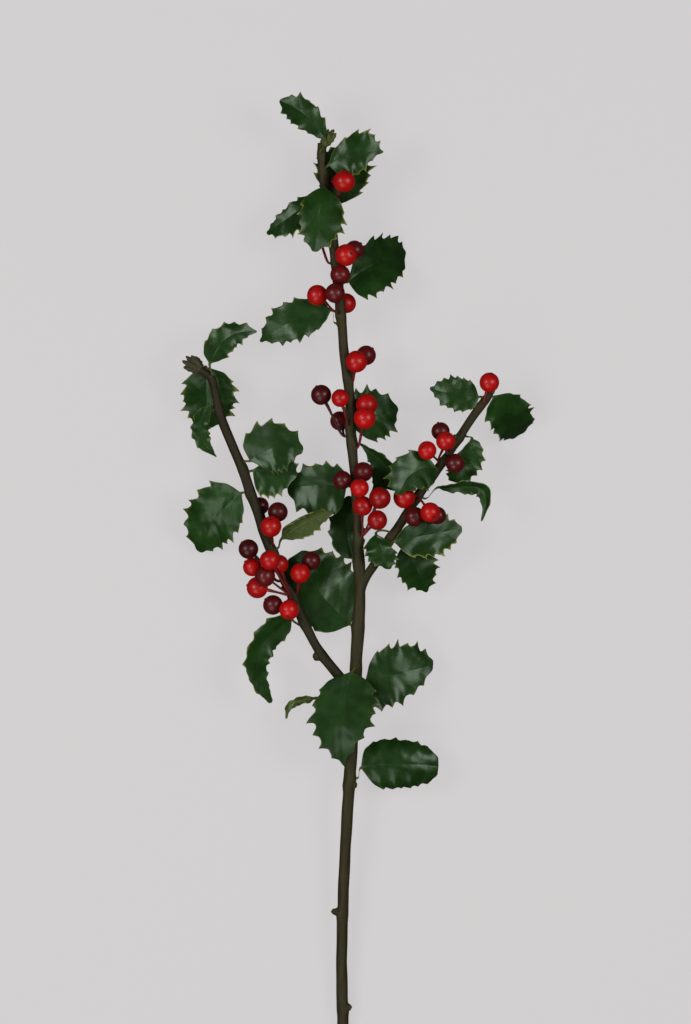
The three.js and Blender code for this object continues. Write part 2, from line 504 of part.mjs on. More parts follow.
// Bunches of berries: each shares one root and one colour; each berry is [x, y, z, radius].
const BUNCHES = [
  { name: 'berries_top_red', on: MAIN, y: 194.5, side: 20, colour: RED,
    berries: [[-5.2, 205.4, 38.5, 5.4]] },
  { name: 'berries_top_dark', on: MAIN, y: 199, side: -30, colour: DARK,
    berries: [[-10.9, 206.5, 22.5, 3.4]] },
  { name: 'berries_upper_red', on: MAIN, y: 168, side: 64, colour: RED,
    berries: [[-4.2, 169, 37.5, 5.4]] },
  { name: 'berries_upper_dark', on: MAIN, y: 165, side: 20, colour: DARK,
    berries: [[-0.2, 172, 28.4, 4.7], [-7.2, 159.4, 34.5, 4.9]] },
  { name: 'berries_under_red', on: MAIN, y: 166, side: 180, colour: RED,
    berries: [[-19, 181, 23, 4.6]] },
  { name: 'berries_fork_red', on: MAIN, y: 142.5, side: 205, colour: RED,
    berries: [[-18.5, 150, 31, 5.1], [-4.3, 146.7, 18, 4.9]] },
  { name: 'berries_fork_dark', on: MAIN, y: 141, side: 110, colour: DARK,
    berries: [[-9.7, 150.4, 38, 4.9]] },
  { name: 'berries_mid_dark', on: MAIN, y: 113, side: 0, colour: DARK,
    berries: [[5.6, 120.4, 25.5, 4.9]] },
  { name: 'berries_mid_red', on: MAIN, y: 107, side: 45, colour: RED,
    berries: [[0.7, 117, 35, 5.4]] },
  { name: 'berries_waist_dark', on: MAIN, y: 80.5, side: 185, colour: DARK,
    berries: [[-16.6, 100.8, 28, 5], [-7.4, 88.2, 18, 4.8]] },
  { name: 'berries_waist_red_left', on: MAIN, y: 86, side: 110, colour: RED,
    berries: [[-7.2, 99, 34, 4.4]] },
  { name: 'berries_waist_red_right', on: MAIN, y: 74.5, side: 30, colour: RED,
    berries: [[6.1, 96.1, 29, 5.4], [5.1, 89.2, 37.5, 5.4]] },
  { name: 'berries_crown_dark', on: MAIN, y: 53, side: 80, colour: DARK,
    berries: [[4.1, 62.7, 33, 4.9], [-6.2, 58.7, 32, 4.6]] },
  { name: 'berries_crown_red', on: MAIN, y: 31, side: 60, colour: RED,
    berries: [[2.1, 54.8, 39, 4.6], [3.6, 46, 35, 4.9], [12, 49.9, 39, 5.4], [10.8, 39, 34, 4.9]] },
  { name: 'berries_right_low_red', on: RIGHT, y: 51, side: 90, colour: RED,
    berries: [[24.3, 50.4, 31.5, 5.4], [36.9, 43, 40, 4.9]] },
  { name: 'berries_right_low_dark', on: RIGHT, y: 42, side: 20, colour: DARK,
    berries: [[29.3, 40.5, 34.5, 4.9], [40.6, 41, 31, 4.4]] },
  { name: 'berries_right_mid_red', on: RIGHT, y: 67, side: 140, colour: RED,
    berries: [[35.6, 73.3, 37.5, 4.6], [44.7, 77.9, 36, 4.7]] },
  { name: 'berries_right_mid_dark', on: RIGHT, y: 71, side: 95, colour: DARK,
    berries: [[42.3, 82.9, 26, 4.5], [49.4, 67.1, 29, 4.7]] },
  { name: 'berries_tip_red', on: RIGHT, y: 96.5, side: 80, colour: RED,
    berries: [[66.2, 106.8, 30, 4.9]] },
  { name: 'berries_left_dark', on: LEFT, y: 35, side: -25, colour: DARK,
    berries: [[-37.8, 43, 30, 4.9], [-46.8, 46, 15.5, 4.4]] },
  { name: 'berries_left_red', on: LEFT, y: 26, side: 55, colour: RED,
    berries: [[-41.2, 36, 36, 5.2]] },
  { name: 'berries_branch_dark', on: LEFT, y: 10, side: 160, colour: DARK,
    berries: [[-52.6, 24.7, 30, 4.9], [-44.4, 11.4, 33.5, 5.1]] },
  { name: 'berries_branch_red', on: LEFT, y: 2, side: 100, colour: RED,
    berries: [[-50.6, 15.8, 24.5, 4.6], [-41.7, 19.3, 39.5, 4.9], [-37.3, 17.3, 30.7, 4.6],
      [-48.1, 5.6, 25, 5.3], [-32.3, -5.2, 33, 4.9]] },
  { name: 'berries_low_red', on: LEFT, y: 1.5, side: 40, colour: RED,
    berries: [[-26.9, 12.9, 31, 4.9]] },
  { name: 'berries_low_dark', on: LEFT, y: 3, side: 0, colour: DARK,
    berries: [[-21.5, 18.9, 26, 4.6]] },
  { name: 'berries_foot_dark', on: LEFT, y: -11, side: 165, colour: DARK,
    berries: [[-40.5, -2.8, 27, 4.9]] },
];

function middleOf(points) {
  const sum = points.reduce((total, p) => total.add(p), new THREE.Vector3());
  return sum.divideScalar(points.length);
}

// A berry and its flare, as rings from the stalk to a small flat at the berry's far end.
function berryRings({ mouth, out }, [x, y, z, radius]) {
  const centre = new THREE.Vector3(x, y, z);
  const aim = centre.clone().sub(mouth).normalize();
  const first = squareTo(out).applyQuaternion(new THREE.Quaternion().setFromUnitVectors(out, aim));
  const round = (along, size) => {
    return ring(centre.clone().addScaledVector(aim, along), aim, size, BERRY_SIDES, first);
  };
  return [
    round(-radius - STALK_FLARE, STALK_RADIUS),
    ...BERRY_RINGS.map((degrees) => {
      const angle = THREE.MathUtils.degToRad(degrees);
      return round(-radius * Math.cos(angle), radius * Math.sin(angle));
    }),
  ];
}

// A berry alone: its stalk is its root.
function singleBerry(root, berry) {
  return loft([
    ring(root.inner, root.out, STALK_ROOT_RADIUS, BERRY_SIDES),
    ring(root.mouth, root.out, STALK_RADIUS, BERRY_SIDES),
    ...berryRings(root, berry),
  ]);
}

// A bunch: its root is a peg with a small knuckle, and each stalk starts inside the knuckle.
function bunchOfBerries(root, berries) {
  const top = root.mouth.clone().addScaledVector(root.out, KNUCKLE_RISE);
  const knuckle = loft([
    ring(root.inner, root.out, STALK_ROOT_RADIUS, KNUCKLE_SIDES),
    ring(root.mouth, root.out, KNUCKLE_RADIUS, KNUCKLE_SIDES),
    ring(top, root.out, KNUCKLE_RADIUS / 2, KNUCKLE_SIDES),
  ]);
  const stalked = berries.map((berry) => {
    const rings = berryRings(root, berry);
    const toCentre = root.mouth.clone().sub(middleOf(rings[0]));
    const start = rings[0].map((p) => p.clone().add(toCentre));
    return loft([start.map((p) => p.lerp(root.mouth, 1 - STALK_START)), ...rings]);
  });
  return geometryOfSolid(joined([knuckle, ...stalked]));
}

// ---- the sprig ---------------------------------------------------------------------------

const sprig = new THREE.Group();

function place(name, geometry, material) {
  const piece = new THREE.Mesh(geometry.translate(...CENTRING), material);
  piece.name = name;
  sprig.add(piece);
}

const sockets = [
  ...LEAVES.map((leaf) => socketGeometry(rootAt(leaf.on, leaf.y, leaf.side), LEAF_SOCKET)),
  ...BUNCHES.map((bunch) => socketGeometry(rootAt(bunch.on, bunch.y, bunch.side), STALK_ROOT_RADIUS)),
];
const timber = joined([
  woodGeometry(MAIN, STEM_SIDES),
  woodGeometry(LEFT, BRANCH_SIDES),
  woodGeometry(RIGHT, BRANCH_SIDES),
  ...STUBS.map(stubGeometry),
  ...BUDS.flatMap((bud) => bud.scales.map((scale) => scaleGeometry(bud, scale))),
]);
place('stem', geometryOfSolid(timber.subtract(joined(sockets))), WOOD);

for (const leaf of LEAVES) {
  place(leaf.name, leafGeometry({ ...LEAF_SHAPE, ...leaf }), LEAF);
}
for (const bunch of BUNCHES) {
  const root = rootAt(bunch.on, bunch.y, bunch.side);
  const { name, colour, berries } = bunch;
  place(name, berries.length > 1 ? bunchOfBerries(root, berries) : singleBerry(root, berries[0]), colour);
}

export default sprig;
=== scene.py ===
import math
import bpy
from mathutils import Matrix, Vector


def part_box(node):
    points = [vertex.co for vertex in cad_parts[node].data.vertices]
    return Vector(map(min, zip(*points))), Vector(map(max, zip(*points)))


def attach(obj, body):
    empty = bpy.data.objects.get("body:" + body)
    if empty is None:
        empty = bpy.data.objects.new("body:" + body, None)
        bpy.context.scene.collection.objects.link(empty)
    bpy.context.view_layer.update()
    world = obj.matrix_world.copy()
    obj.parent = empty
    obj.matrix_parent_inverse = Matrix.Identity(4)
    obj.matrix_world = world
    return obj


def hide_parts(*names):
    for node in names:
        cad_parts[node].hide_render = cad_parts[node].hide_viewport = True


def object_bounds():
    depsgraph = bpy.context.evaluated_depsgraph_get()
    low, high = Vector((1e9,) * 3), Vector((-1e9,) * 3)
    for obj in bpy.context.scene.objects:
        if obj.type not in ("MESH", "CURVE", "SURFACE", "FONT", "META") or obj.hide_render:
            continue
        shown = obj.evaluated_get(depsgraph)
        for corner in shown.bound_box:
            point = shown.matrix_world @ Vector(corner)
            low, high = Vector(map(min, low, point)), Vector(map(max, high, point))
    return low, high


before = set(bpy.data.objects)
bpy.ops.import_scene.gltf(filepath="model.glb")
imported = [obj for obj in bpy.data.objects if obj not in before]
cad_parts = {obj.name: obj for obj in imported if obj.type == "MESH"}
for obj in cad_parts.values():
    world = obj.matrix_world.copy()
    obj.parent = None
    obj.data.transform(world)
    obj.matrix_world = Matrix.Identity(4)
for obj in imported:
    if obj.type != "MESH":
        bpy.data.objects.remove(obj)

from types import SimpleNamespace

import bpy
import numpy as np
from mathutils import Vector

cad_box = [[float(x) for x in corner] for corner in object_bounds()]

# ---- Viewpoint -------------------------------------------
# The sprig lies on a table with its cut end towards the viewer, who looks straight down on
# it from two metres up.  The view takes in everything except the last of the bare stem.

MM = 0.001
EYE_HEIGHT = 2.0
VIEW_LENGTH = 0.512                         # from the bottom edge of the view to its top
SENSOR = 36.0
FARTHEST = 20.0
AIM_ASIDE = np.array([-6.24, 44.81]) * MM   # from the middle of the sprig's box


def placed(name, data):
    """A new object in the scene."""
    made = bpy.data.objects.new(name, data)
    bpy.context.scene.collection.objects.link(made)
    return made


aim = np.append(np.mean(cad_box, axis=0)[:2] + AIM_ASIDE, 0.0)
camera_data = bpy.data.cameras.new("eye")
camera_data.sensor_width = SENSOR
camera_data.lens = SENSOR * EYE_HEIGHT / VIEW_LENGTH
camera_data.clip_end = FARTHEST
camera = placed("eye", camera_data)
camera.location = (aim[0], aim[1], EYE_HEIGHT)
bpy.context.scene.camera = camera

# ---- Table and light -------------------------------------
# A plain pale table under soft lamps: two beside the viewer, a little above, light the
# berries, a broader one beyond the cut end gives the leaves their sheen, and one overhead
# shows in no gloss and only fills the shadows.

# Each lamp: its place from the middle of the view, its size, and its power in watts.
LAMPS = {
    "lamp_left": ((-0.894, 0.209, 1.186), 0.58, 7.2),
    "lamp_right": ((0.894, 0.209, 1.186), 0.58, 6.8),
    "lamp_low": ((-0.45, -1.004, 1.115), 0.9, 6.0),
    "lamp_fill": ((0.2, 0.3, 2.4), 1.0, 5.0),
}
ROOM_COLOUR = (0.60, 0.585, 0.59, 1)
ROOM_DIM = 0.04           # how bright the room's own light is on the sprig
TABLE_HALF = 6.0
TABLE_FINISH = {
    "Base Color": (0.16, 0.155, 0.156, 1), "Roughness": 0.9, "Specular IOR Level": 0.1,
    "Emission Color": (0.62, 0.60, 0.605, 1), "Emission Strength": 0.855,
}

bpy.context.scene.view_settings.view_transform = "Standard"
bpy.context.scene.view_settings.look = "None"

for name, (offset, size, power) in LAMPS.items():
    data = bpy.data.lights.new(name, "AREA")
    data.size = size
    data.energy = power
    lamp = placed(name, data)
    lamp.location = Vector(aim + offset)
    lamp.rotation_euler = (Vector(aim) - lamp.location).to_track_quat("-Z", "Y").to_euler()
fill = bpy.data.objects["lamp_fill"]
fill.visible_glossy = False
fill.visible_camera = False

world = bpy.data.worlds.new("room")
world.use_nodes = True
bpy.context.scene.world = world
room = world.node_tree
room.nodes.clear()
ray = room.nodes.new("ShaderNodeLightPath")
either = room.nodes.new("ShaderNodeMixShader")
room_out = room.nodes.new("ShaderNodeOutputWorld")
room.links.new(ray.outputs["Is Camera Ray"], either.inputs[0])
for place, strength in ((1, ROOM_DIM / ROOM_COLOUR[0]), (2, 1.0)):
    light = room.nodes.new("ShaderNodeBackground")
    light.inputs["Color"].default_value = ROOM_COLOUR
    light.inputs["Strength"].default_value = strength
    room.links.new(light.outputs[0], either.inputs[place])
room.links.new(either.outputs[0], room_out.inputs["Surface"])

table_mesh = bpy.data.meshes.new("table")
table_mesh.from_pydata(
    [(x * TABLE_HALF, y * TABLE_HALF, 0) for x, y in ((-1, -1), (1, -1), (1, 1), (-1, 1))],
    [], [(0, 1, 2, 3)])
table = placed("table", table_mesh)
table_material = bpy.data.materials.new("table")
table_material.use_nodes = True
for socket, value in TABLE_FINISH.items():
    table_material.node_tree.nodes["Principled BSDF"].inputs[socket].default_value = value
table_mesh.materials.append(table_material)
table.visible_glossy = False
table.visible_diffuse = False

# ---- Wood: the stem and its two branches -----------------
# Young holly wood, smooth and olive brown with fine lengthwise wrinkles, pale pores and a
# swelling under every leaf.  The stem is one rod cut square at its foot; both branches
# leave it as forks.

# From the origin of the tables, in the middle of the main stem, to that of the sprig, in mm.
CENTRING = np.array([-1.6, 1.81, 0.0])
# Points of each axis from the thick end to the tip: y, x, z and radius in mm.
MAIN = np.array([
    [-253, -5.5, 3.0, 3.0], [-213, -6, 4.6, 2.9], [-176, -6.5, 8, 2.75], [-126, -4.8, 13, 2.75],
    [-83, -2.2, 17.5, 2.95], [-44, 0.1, 21, 3.0], [-26, 0.9, 22, 3.1], [-1, 2.4, 23, 2.9],
    [29, 1.7, 24, 2.5], [54, 0.7, 24.6, 2.5], [79, -1.8, 25.2, 2.45], [101, -2.6, 25.6, 2.45],
    [123, -5.4, 26, 2.45], [142, -7, 26.4, 2.4], [167, -9.7, 26.8, 2.4], [181, -11, 27, 2.35],
    [190, -10.8, 27, 2.3], [202, -14.5, 27, 2.25], [215, -16, 27, 2.25], [225, -16.4, 27, 2.2],
])
LEFT = np.array([
    [-46, -1.4, 21, 2.4], [-40, -6.3, 21.4, 2.4], [-30, -14.5, 22, 2.35], [-20, -20.9, 22.4, 2.4],
    [-8, -26.6, 22.8, 2.45], [4.5, -32.2, 23, 2.5], [17, -37.8, 23.2, 2.5], [27, -42.6, 23.4, 2.5],
    [46.5, -49.4, 23.6, 2.5], [66, -56.3, 24, 2.4], [86, -64.8, 24.4, 2.3], [96, -67.6, 24.6, 2.1],
    [104, -69.5, 24.8, 1.9], [110.5, -72, 25, 1.85], [114, -78, 25, 1.75],
])
RIGHT = np.array([
    [-4, 1.8, 23.4, 2.2], [5, 3.2, 23.7, 2.3], [11.5, 6, 23.9, 2.3], [16.5, 9.2, 24, 2.3],
    [25, 14.6, 24.2, 2.3], [36, 21.6, 24.4, 2.25], [45, 27.4, 24.5, 2.25], [53, 32.4, 24.5, 2.2],
    [61, 38.5, 24.4, 2.1], [70, 45.2, 24.2, 2.05], [78, 50.5, 24, 2.0], [92, 59.6, 23.4, 1.9],
    [102, 67, 23, 1.75],
])
# Each rod: its name, axis and darkness, and the swellings under its leaves and bunches, with
# their heights and their sides in degrees.
RODS = [
    ("stem_main", MAIN, 0.05, [
        (220, 110), (212, 60), (199, 185), (196, 0), (167, 64), (157, 0), (141, 175), (110, 20),
        (101, 170), (86, 110), (78, 0), (57, 185), (31, 60), (18, 205), (-13, 200), (-33.5, 95),
        (-41, 0), (-88.5, 10), (-92, 200), (-156, 190), (-204, 5)]),
    ("branch_left", LEFT, 0.6, [
        (109, 60), (94.5, 150), (65, 15), (53, 175), (35, -25), (24, 40), (10, 160), (2, 60),
        (-11, 180), (-27, 205)]),
    ("branch_right", RIGHT, 0.15, [
        (100, 5), (96, 80), (81, 0), (79, 150), (69, 110), (62, 110), (51, 0), (42, 20),
        (31, 150), (27, 70)]),
]
WOOD_AROUND = 48
WOOD_STEP = 0.9
# Sets of low ridges that wind along the wood: how many, how high, and how far a turn takes.
RIDGES = ((2, 0.10, 31.0), (3, 0.07, 19.0), (7, 0.03, 43.0), (11, 0.02, 27.0))
WAVER = 0.08              # how far the girth wavers along the wood
WAVER_LENGTH = 5.3
SWELLING_SIDE = 0.42      # rise of a swelling beneath its leaf
SWELLING_ROUND = 0.12     # its rise all round the wood
SWELLING_LENGTH = 2.6
SWELLING_BEFORE = 1.0     # how far its middle lies before the leaf
SWOLLEN = 0.3             # rise at which the bark is fully that of a swelling
BARK_BROWN = (0.049, 0.041, 0.016)
BARK_OLIVE = (0.034, 0.032, 0.011)
BARK_STREAK = (0.054, 0.033, 0.016)
BARK_SWOLLEN = (0.060, 0.062, 0.022)
BARK_PORE = (0.115, 0.095, 0.055)
BARK_DARK = (0.016, 0.015, 0.0055)
BARK_TIP = (0.032, 0.021, 0.010)


def unit(v):
    """The same directions with length one."""
    return v / np.linalg.norm(v, axis=-1, keepdims=True)


def axis_at(wood, y):
    """Centre, direction and radius of a piece of wood at heights y: a cubic in y through the
    table's points, with the slope at each point that of the line between its neighbours."""
    y = np.atleast_1d(np.asarray(y, float))
    j = np.searchsorted(wood[1:-1, 0], y)
    last = len(wood) - 1
    spots = np.arange(last + 1)
    before, after = np.maximum(spots - 1, 0), np.minimum(spots + 1, last)
    slope = (wood[after] - wood[before]) / (wood[after, :1] - wood[before, :1])
    start, end = wood[j], wood[j + 1]
    span = (end - start)[:, :1]
    t = (y[:, None] - start[:, :1]) / span
    m0, m1 = slope[j] * span, slope[j + 1] * span
    drop = start - end
    value = start + t * (m0 + t * (-3 * drop - 2 * m0 - m1 + t * (2 * drop + m0 + m1)))
    rate = (m0 + t * (2 * (-3 * drop - 2 * m0 - m1) + 3 * t * (2 * drop + m0 + m1))) / span
    centre = np.stack([value[:, 1], y, value[:, 2]], axis=1)
    along = unit(np.stack([rate[:, 1], np.ones_like(y), rate[:, 2]], axis=1))
    radius = (start + t * (end - start))[:, 3]
    return centre, along, radius


def square_to(along):
    """The sideways and upward directions square to directions along the wood."""
    right = unit(np.cross(along, [0.0, 0.0, 1.0]))
    return right, np.cross(right, along)


def outward(along, side):
    """Direction out of the wood, turned about it: 0 is to the right, 90 up, 180 to the left."""
    right, up = square_to(along)
    angle = np.radians(side)
    return right * np.cos(angle) + up * np.sin(angle)


def turns(places):
    """Angles evenly spaced round a ring."""
    return np.linspace(0, 2 * np.pi, places, endpoint=False)


def grid(stations, places, start=0.0):
    """Parts of the way along a piece, one for each station, and angles round it."""
    return np.linspace(start, 1, stations)[:, None], turns(places)


def spokes(right, up, turn):
    """Directions at angles round a ring: the cosine to the right and the sine upward."""
    return right * np.cos(turn)[:, None] + up * np.sin(turn)[:, None]


def triple(*values):
    """Three values spread over the same stations and places, as one array."""
    return np.stack(np.broadcast_arrays(*values), axis=-1)


def grained(width, turn, along):
    """The places of a skin's points in its pattern: across, upward and along the wood."""
    return triple(width * np.cos(turn), width * np.sin(turn), along)


def skin(rings, **marks):
    """Points, faces and marks of a closed skin through a row of rings, an array of stations
    by places round the ring by xyz; each end is closed by a fan about the middle of its ring.
    A mark is an array of stations by places by three numbers."""
    stations, places, _ = rings.shape
    k, i = np.meshgrid(np.arange(stations - 1), np.arange(places), indexing="ij")
    a = (k * places + i).ravel()
    b = (k * places + (i + 1) % places).ravel()
    sides = np.stack([a, b, b + places, a + places], axis=1)
    i = np.arange(places)
    foot = np.full(places, stations * places)
    last = (stations - 1) * places
    first_fan = np.stack([foot, (i + 1) % places, i], axis=1)
    last_fan = np.stack([foot + 1, last + i, last + (i + 1) % places], axis=1)
    points, *values = [
        np.concatenate([part.reshape(-1, 3), part[:1].mean(axis=1), part[-1:].mean(axis=1)])
        for part in (rings, *marks.values())]
    faces = sides.tolist() + first_fan.tolist() + last_fan.tolist()
    return points, faces, dict(zip(marks, values))


def build(name, skins, finish, node=None):
    """A smooth mesh object from skins in mm, moved by the centring step.  One that stands for
    a solid is moved on, so that the middles of their boxes meet.  Each mark becomes an
    attribute of the points.  What would sink into the table is pressed flat against it."""
    points, faces, marks, start = [], [], {}, 0
    for some_points, some_faces, some_marks in skins:
        points.append(some_points)
        faces += [[corner + start for corner in face] for face in some_faces]
        for key, value in some_marks.items():
            marks.setdefault(key, []).append(value)
        start += len(some_points)
    points = np.concatenate(points)
    if node:
        low, high = (np.array(corner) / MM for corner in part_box(node))
        middle = (points.min(axis=0) + points.max(axis=0)) / 2
        points = points + (low + high) / 2 - middle - CENTRING
    points = (points + CENTRING) * MM
    points[:, 2] = np.maximum(points[:, 2], 0.0)
    mesh = bpy.data.meshes.new(name)
    mesh.from_pydata(points.tolist(), [], faces)
    mesh.polygons.foreach_set("use_smooth", np.ones(len(mesh.polygons), bool))
    for key, values in marks.items():
        layer = mesh.attributes.new(key, "FLOAT_VECTOR", "POINT")
        layer.data.foreach_set("vector", np.concatenate(values).astype(np.float32).ravel())
    mesh.materials.append(finish)
    mesh.update()
    return placed(name, mesh)


def joining(operation):
    """What an operator does: a Math node joins a wire and another, or a number."""
    return lambda wire, other: wire.math(operation, other)


class Wire:
    """A socket of a finish.  Sums, products and the like of wires are Math nodes."""

    def __init__(self, finish, socket):
        self.finish = finish
        self.socket = socket

    def math(self, operation, *values):
        """A Math node on this wire and others, or numbers."""
        sockets = dict(enumerate((self, *values)))
        return self.finish.node("ShaderNodeMath", sockets, operation=operation)

    __add__ = __radd__ = joining("ADD")
    __mul__ = __rmul__ = joining("MULTIPLY")
    __sub__, __truediv__, __pow__ = joining("SUBTRACT"), joining("DIVIDE"), joining("POWER")

    def __rsub__(self, other):
        sockets = {0: other, 1: self}
        return self.finish.node("ShaderNodeMath", sockets, operation="SUBTRACT")

    def __abs__(self):
        return self.math("ABSOLUTE")

    def step(self, low, high):
        """Nothing below low, one above high, and a smooth slope between."""
        sockets = {"Value": self, "From Min": low, "From Max": high}
        return self.finish.node("ShaderNodeMapRange", sockets, interpolation_type="SMOOTHSTEP")


class Finish:
    """A material with one Principled shader.  Its constants are given at the start, and what
    changes over the surface is worked out with wires and given at the end."""

    def __init__(self, name, **constants):
        self.material = bpy.data.materials.new(name)
        self.material.use_nodes = True
        self.tree = self.material.node_tree
        self.shader = self.tree.nodes["Principled BSDF"]
        self.feed(self.shader, constants)

    def feed(self, node, sockets):
        """Values or wires for a node's sockets, which are numbers, or names with _ for space."""
        for key, value in sockets.items():
            socket = node.inputs[key.replace("_", " ") if isinstance(key, str) else key]
            if isinstance(value, Wire):
                self.tree.links.new(value.socket, socket)
            else:
                socket.default_value = value

    def node(self, kind, sockets, output=0, **settings):
        """A node of any kind: its settings first, then the values or wires of its sockets."""
        made = self.tree.nodes.new(kind)
        for key, value in settings.items():
            setattr(made, key, value)
        self.feed(made, sockets)
        return Wire(self, made.outputs[output])

    def place(self, name):
        """A mark on the piece's points as one wire."""
        return self.node("ShaderNodeAttribute", {}, "Vector", attribute_name=name)

    def mark(self, name):
        """The three numbers of a mark, a wire each."""
        place = self.place(name)
        return [self.node("ShaderNodeSeparateXYZ", {0: place}, k) for k in range(3)]

    def drawn_out(self, place, share):
        """A place with its last number made less, so that patterns are longer that way."""
        return self.node("ShaderNodeMapping", {"Vector": place, "Scale": (1, 1, share)})

    def noise(self, place, scale, detail=2.0, rough=0.5):
        """Soft clouds about one half, so many a unit."""
        sockets = {"Vector": place, "Scale": scale, "Detail": detail, "Roughness": rough}
        return self.node("ShaderNodeTexNoise", sockets, "Fac")

    def cells(self, place, scale):
        """The way to the nearest of many scattered points."""
        sockets = {"Vector": place, "Scale": scale}
        return self.node("ShaderNodeTexVoronoi", sockets, "Distance")

    def mix(self, share, first, second):
        """Two colours mixed by share, none of the second at 0 and all of it at 1."""
        first, second = [c if isinstance(c, Wire) else (*c, 1) for c in (first, second)]
        return self.node("ShaderNodeMix", {0: share, 6: first, 7: second}, 2, data_type="RGBA")

    def coats(self, colour, *layers):
        """A colour with others laid over it in turn, each after its share."""
        for share, over in layers:
            colour = self.mix(share, colour, over)
        return colour

    def done(self, height, distance, **wires):
        """The material, once its wires and its fine relief are joined to the shader."""
        bump = self.node("ShaderNodeBump", {"Height": height, "Distance": distance})
        self.feed(self.shader, {"Normal": bump, **wires})
        return self.material


def wood_skin(wood, swellings, seed, dark):
    """A rod about its axis: at each place round it the radius of the table, a slightly
    uneven girth, fine lengthwise ridges and a bump under each leaf."""
    rng = np.random.default_rng(seed)
    length = wood[-1, 0] - wood[0, 0]
    y = np.linspace(wood[0, 0], wood[-1, 0], int(length / WOOD_STEP))
    centre, along, radius = axis_at(wood, y)
    right, up = square_to(along)
    turn = turns(WOOD_AROUND)
    y = y[:, None]
    ripple = np.zeros((len(y), WOOD_AROUND))
    for count, height, pitch in RIDGES:
        ripple += height * np.sin(count * turn + y / pitch * 2 * np.pi + rng.uniform(0, 6.3))
    ripple += WAVER * np.sin(y / WAVER_LENGTH + rng.uniform(0, 6.3))
    for at, side in swellings:
        near = np.exp(-((y - at + SWELLING_BEFORE) / SWELLING_LENGTH) ** 2)
        facing = (0.5 + 0.5 * np.cos(turn - np.radians(side))) ** 2
        ripple += SWELLING_SIDE * near * facing + SWELLING_ROUND * near
    girth = radius[:, None] + ripple
    rings = centre[:, None] + spokes(right[:, None], up[:, None], turn) * girth[..., None]
    swell = np.clip((ripple - SWELLING_ROUND) / SWOLLEN, 0, 1)
    return skin(
        rings, grain=grained(girth, turn, y - wood[0, 0]),
        kind=triple((y - wood[0, 0]) / length, swell, dark))


bark = Finish("bark", Specular_IOR_Level=0.20)
grain = bark.place("grain")
stretched = bark.drawn_out(grain, 0.12)
grown, swell, dark = bark.mark("kind")
patches = bark.noise(stretched, 0.35, detail=3)
streaks = bark.noise(stretched, 1.6, detail=4, rough=0.6)
pores = 1 - bark.cells(bark.drawn_out(grain, 0.5), 0.55).step(0.06, 0.16)
bark_colour = bark.coats(
    BARK_BROWN, (patches.step(0.38, 0.62), BARK_OLIVE),
    (streaks.step(0.45, 0.75) * 0.6, BARK_STREAK), (swell * 0.35, BARK_SWOLLEN),
    (pores * 0.45, BARK_PORE), (dark, BARK_DARK), (dark * grown.step(0.45, 0.85), BARK_TIP))
bark_material = bark.done(
    height=streaks * 0.8 + bark.noise(grain, 3.0, detail=3) * 0.4 + pores * 0.6,
    distance=0.12 * MM, Base_Color=bark_colour, Roughness=0.42 + streaks * 0.25)

for seed, (name, wood, dark, swellings) in enumerate(RODS):
    rod = build(name, [wood_skin(wood, swellings, seed, dark)], bark_material)
    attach(rod, "root")
    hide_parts("stem")

# ---- Cut foot of the stem --------------------------------
# Where the sprig was cut from the tree, square across, the end shows pale wood with darker
# growth rings round a soft pith, and the thin bark about it.

FOOT_RADIUS = 2.75
FOOT_PROUD = 0.12
FOOT_SUNK = 0.3
FOOT_GRID = (24, 40)
CUT_WOOD = (0.42, 0.34, 0.20)
CUT_RING = (0.27, 0.20, 0.11)
CUT_PITH = (0.13, 0.08, 0.04)
CUT_BARK = (0.05, 0.045, 0.02)


def foot_skin():
    """A thin disc over the cut: a flat dome with a rounded rim, its height falling with the
    fourth power of the distance from its middle."""
    centre, along, _ = axis_at(MAIN, MAIN[0, 0])
    share, turn = grid(*FOOT_GRID, start=0.02)
    rise = (FOOT_PROUD * (1 - share ** 4))[..., None]
    front = (centre + spokes(*square_to(along), turn) * (FOOT_RADIUS * share)[..., None]
             - along * rise)
    back = front[::-1] + along * (FOOT_SUNK + rise[::-1])
    reach = np.concatenate([share, share[::-1]]) * FOOT_RADIUS
    return skin(np.concatenate([front, back]), grain=grained(reach, turn, 0))


cut_wood = Finish("cut_wood", Roughness=0.7, Specular_IOR_Level=0.2)
across, upward, _ = cut_wood.mark("grain")
reach = (across * across + upward * upward) ** 0.5
rings = (reach * 9 + cut_wood.noise(cut_wood.place("grain"), 0.8) * 2).math("SINE")
cut_colour = cut_wood.coats(
    CUT_WOOD, (rings.step(0.2, 1.0) * 0.5, CUT_RING), (1 - reach.step(0.25, 0.4), CUT_PITH),
    (reach.step(2.35, 2.6), CUT_BARK))
cut_material = cut_wood.done(height=rings, distance=0.03 * MM, Base_Color=cut_colour)

foot = build("stem_cut_foot", [foot_skin()], cut_material)
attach(foot, "root")
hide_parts("stem")

# ---- Twig stubs and leaf scars ---------------------------
# Where side twigs and old leaves have come away, a short knob stands out of the bark, a
# little narrower and rough at its broken end.

# Each stub: the wood, its height and side, and its length and radius in mm.
STUBS = [
    (MAIN, -156, 190, 3.0, 1.5), (MAIN, -204, 5, 1.8, 1.6), (LEFT, -27, 205, 2.6, 1.9),
    (RIGHT, 79, 150, 1.6, 1.1), (MAIN, -92, 15, 1.0, 1.6), (MAIN, 101, 170, 0.9, 1.3),
]
STUB_SEED = 40
STUB_START = 0.5      # where a stub starts, as a part of the wood's radius
STUB_GRID = (26, 28)
STUB_FOOT = 1.25      # its girth at its foot, as a part of its radius
STUB_NARROWS = 0.35   # how much of that it loses towards its end


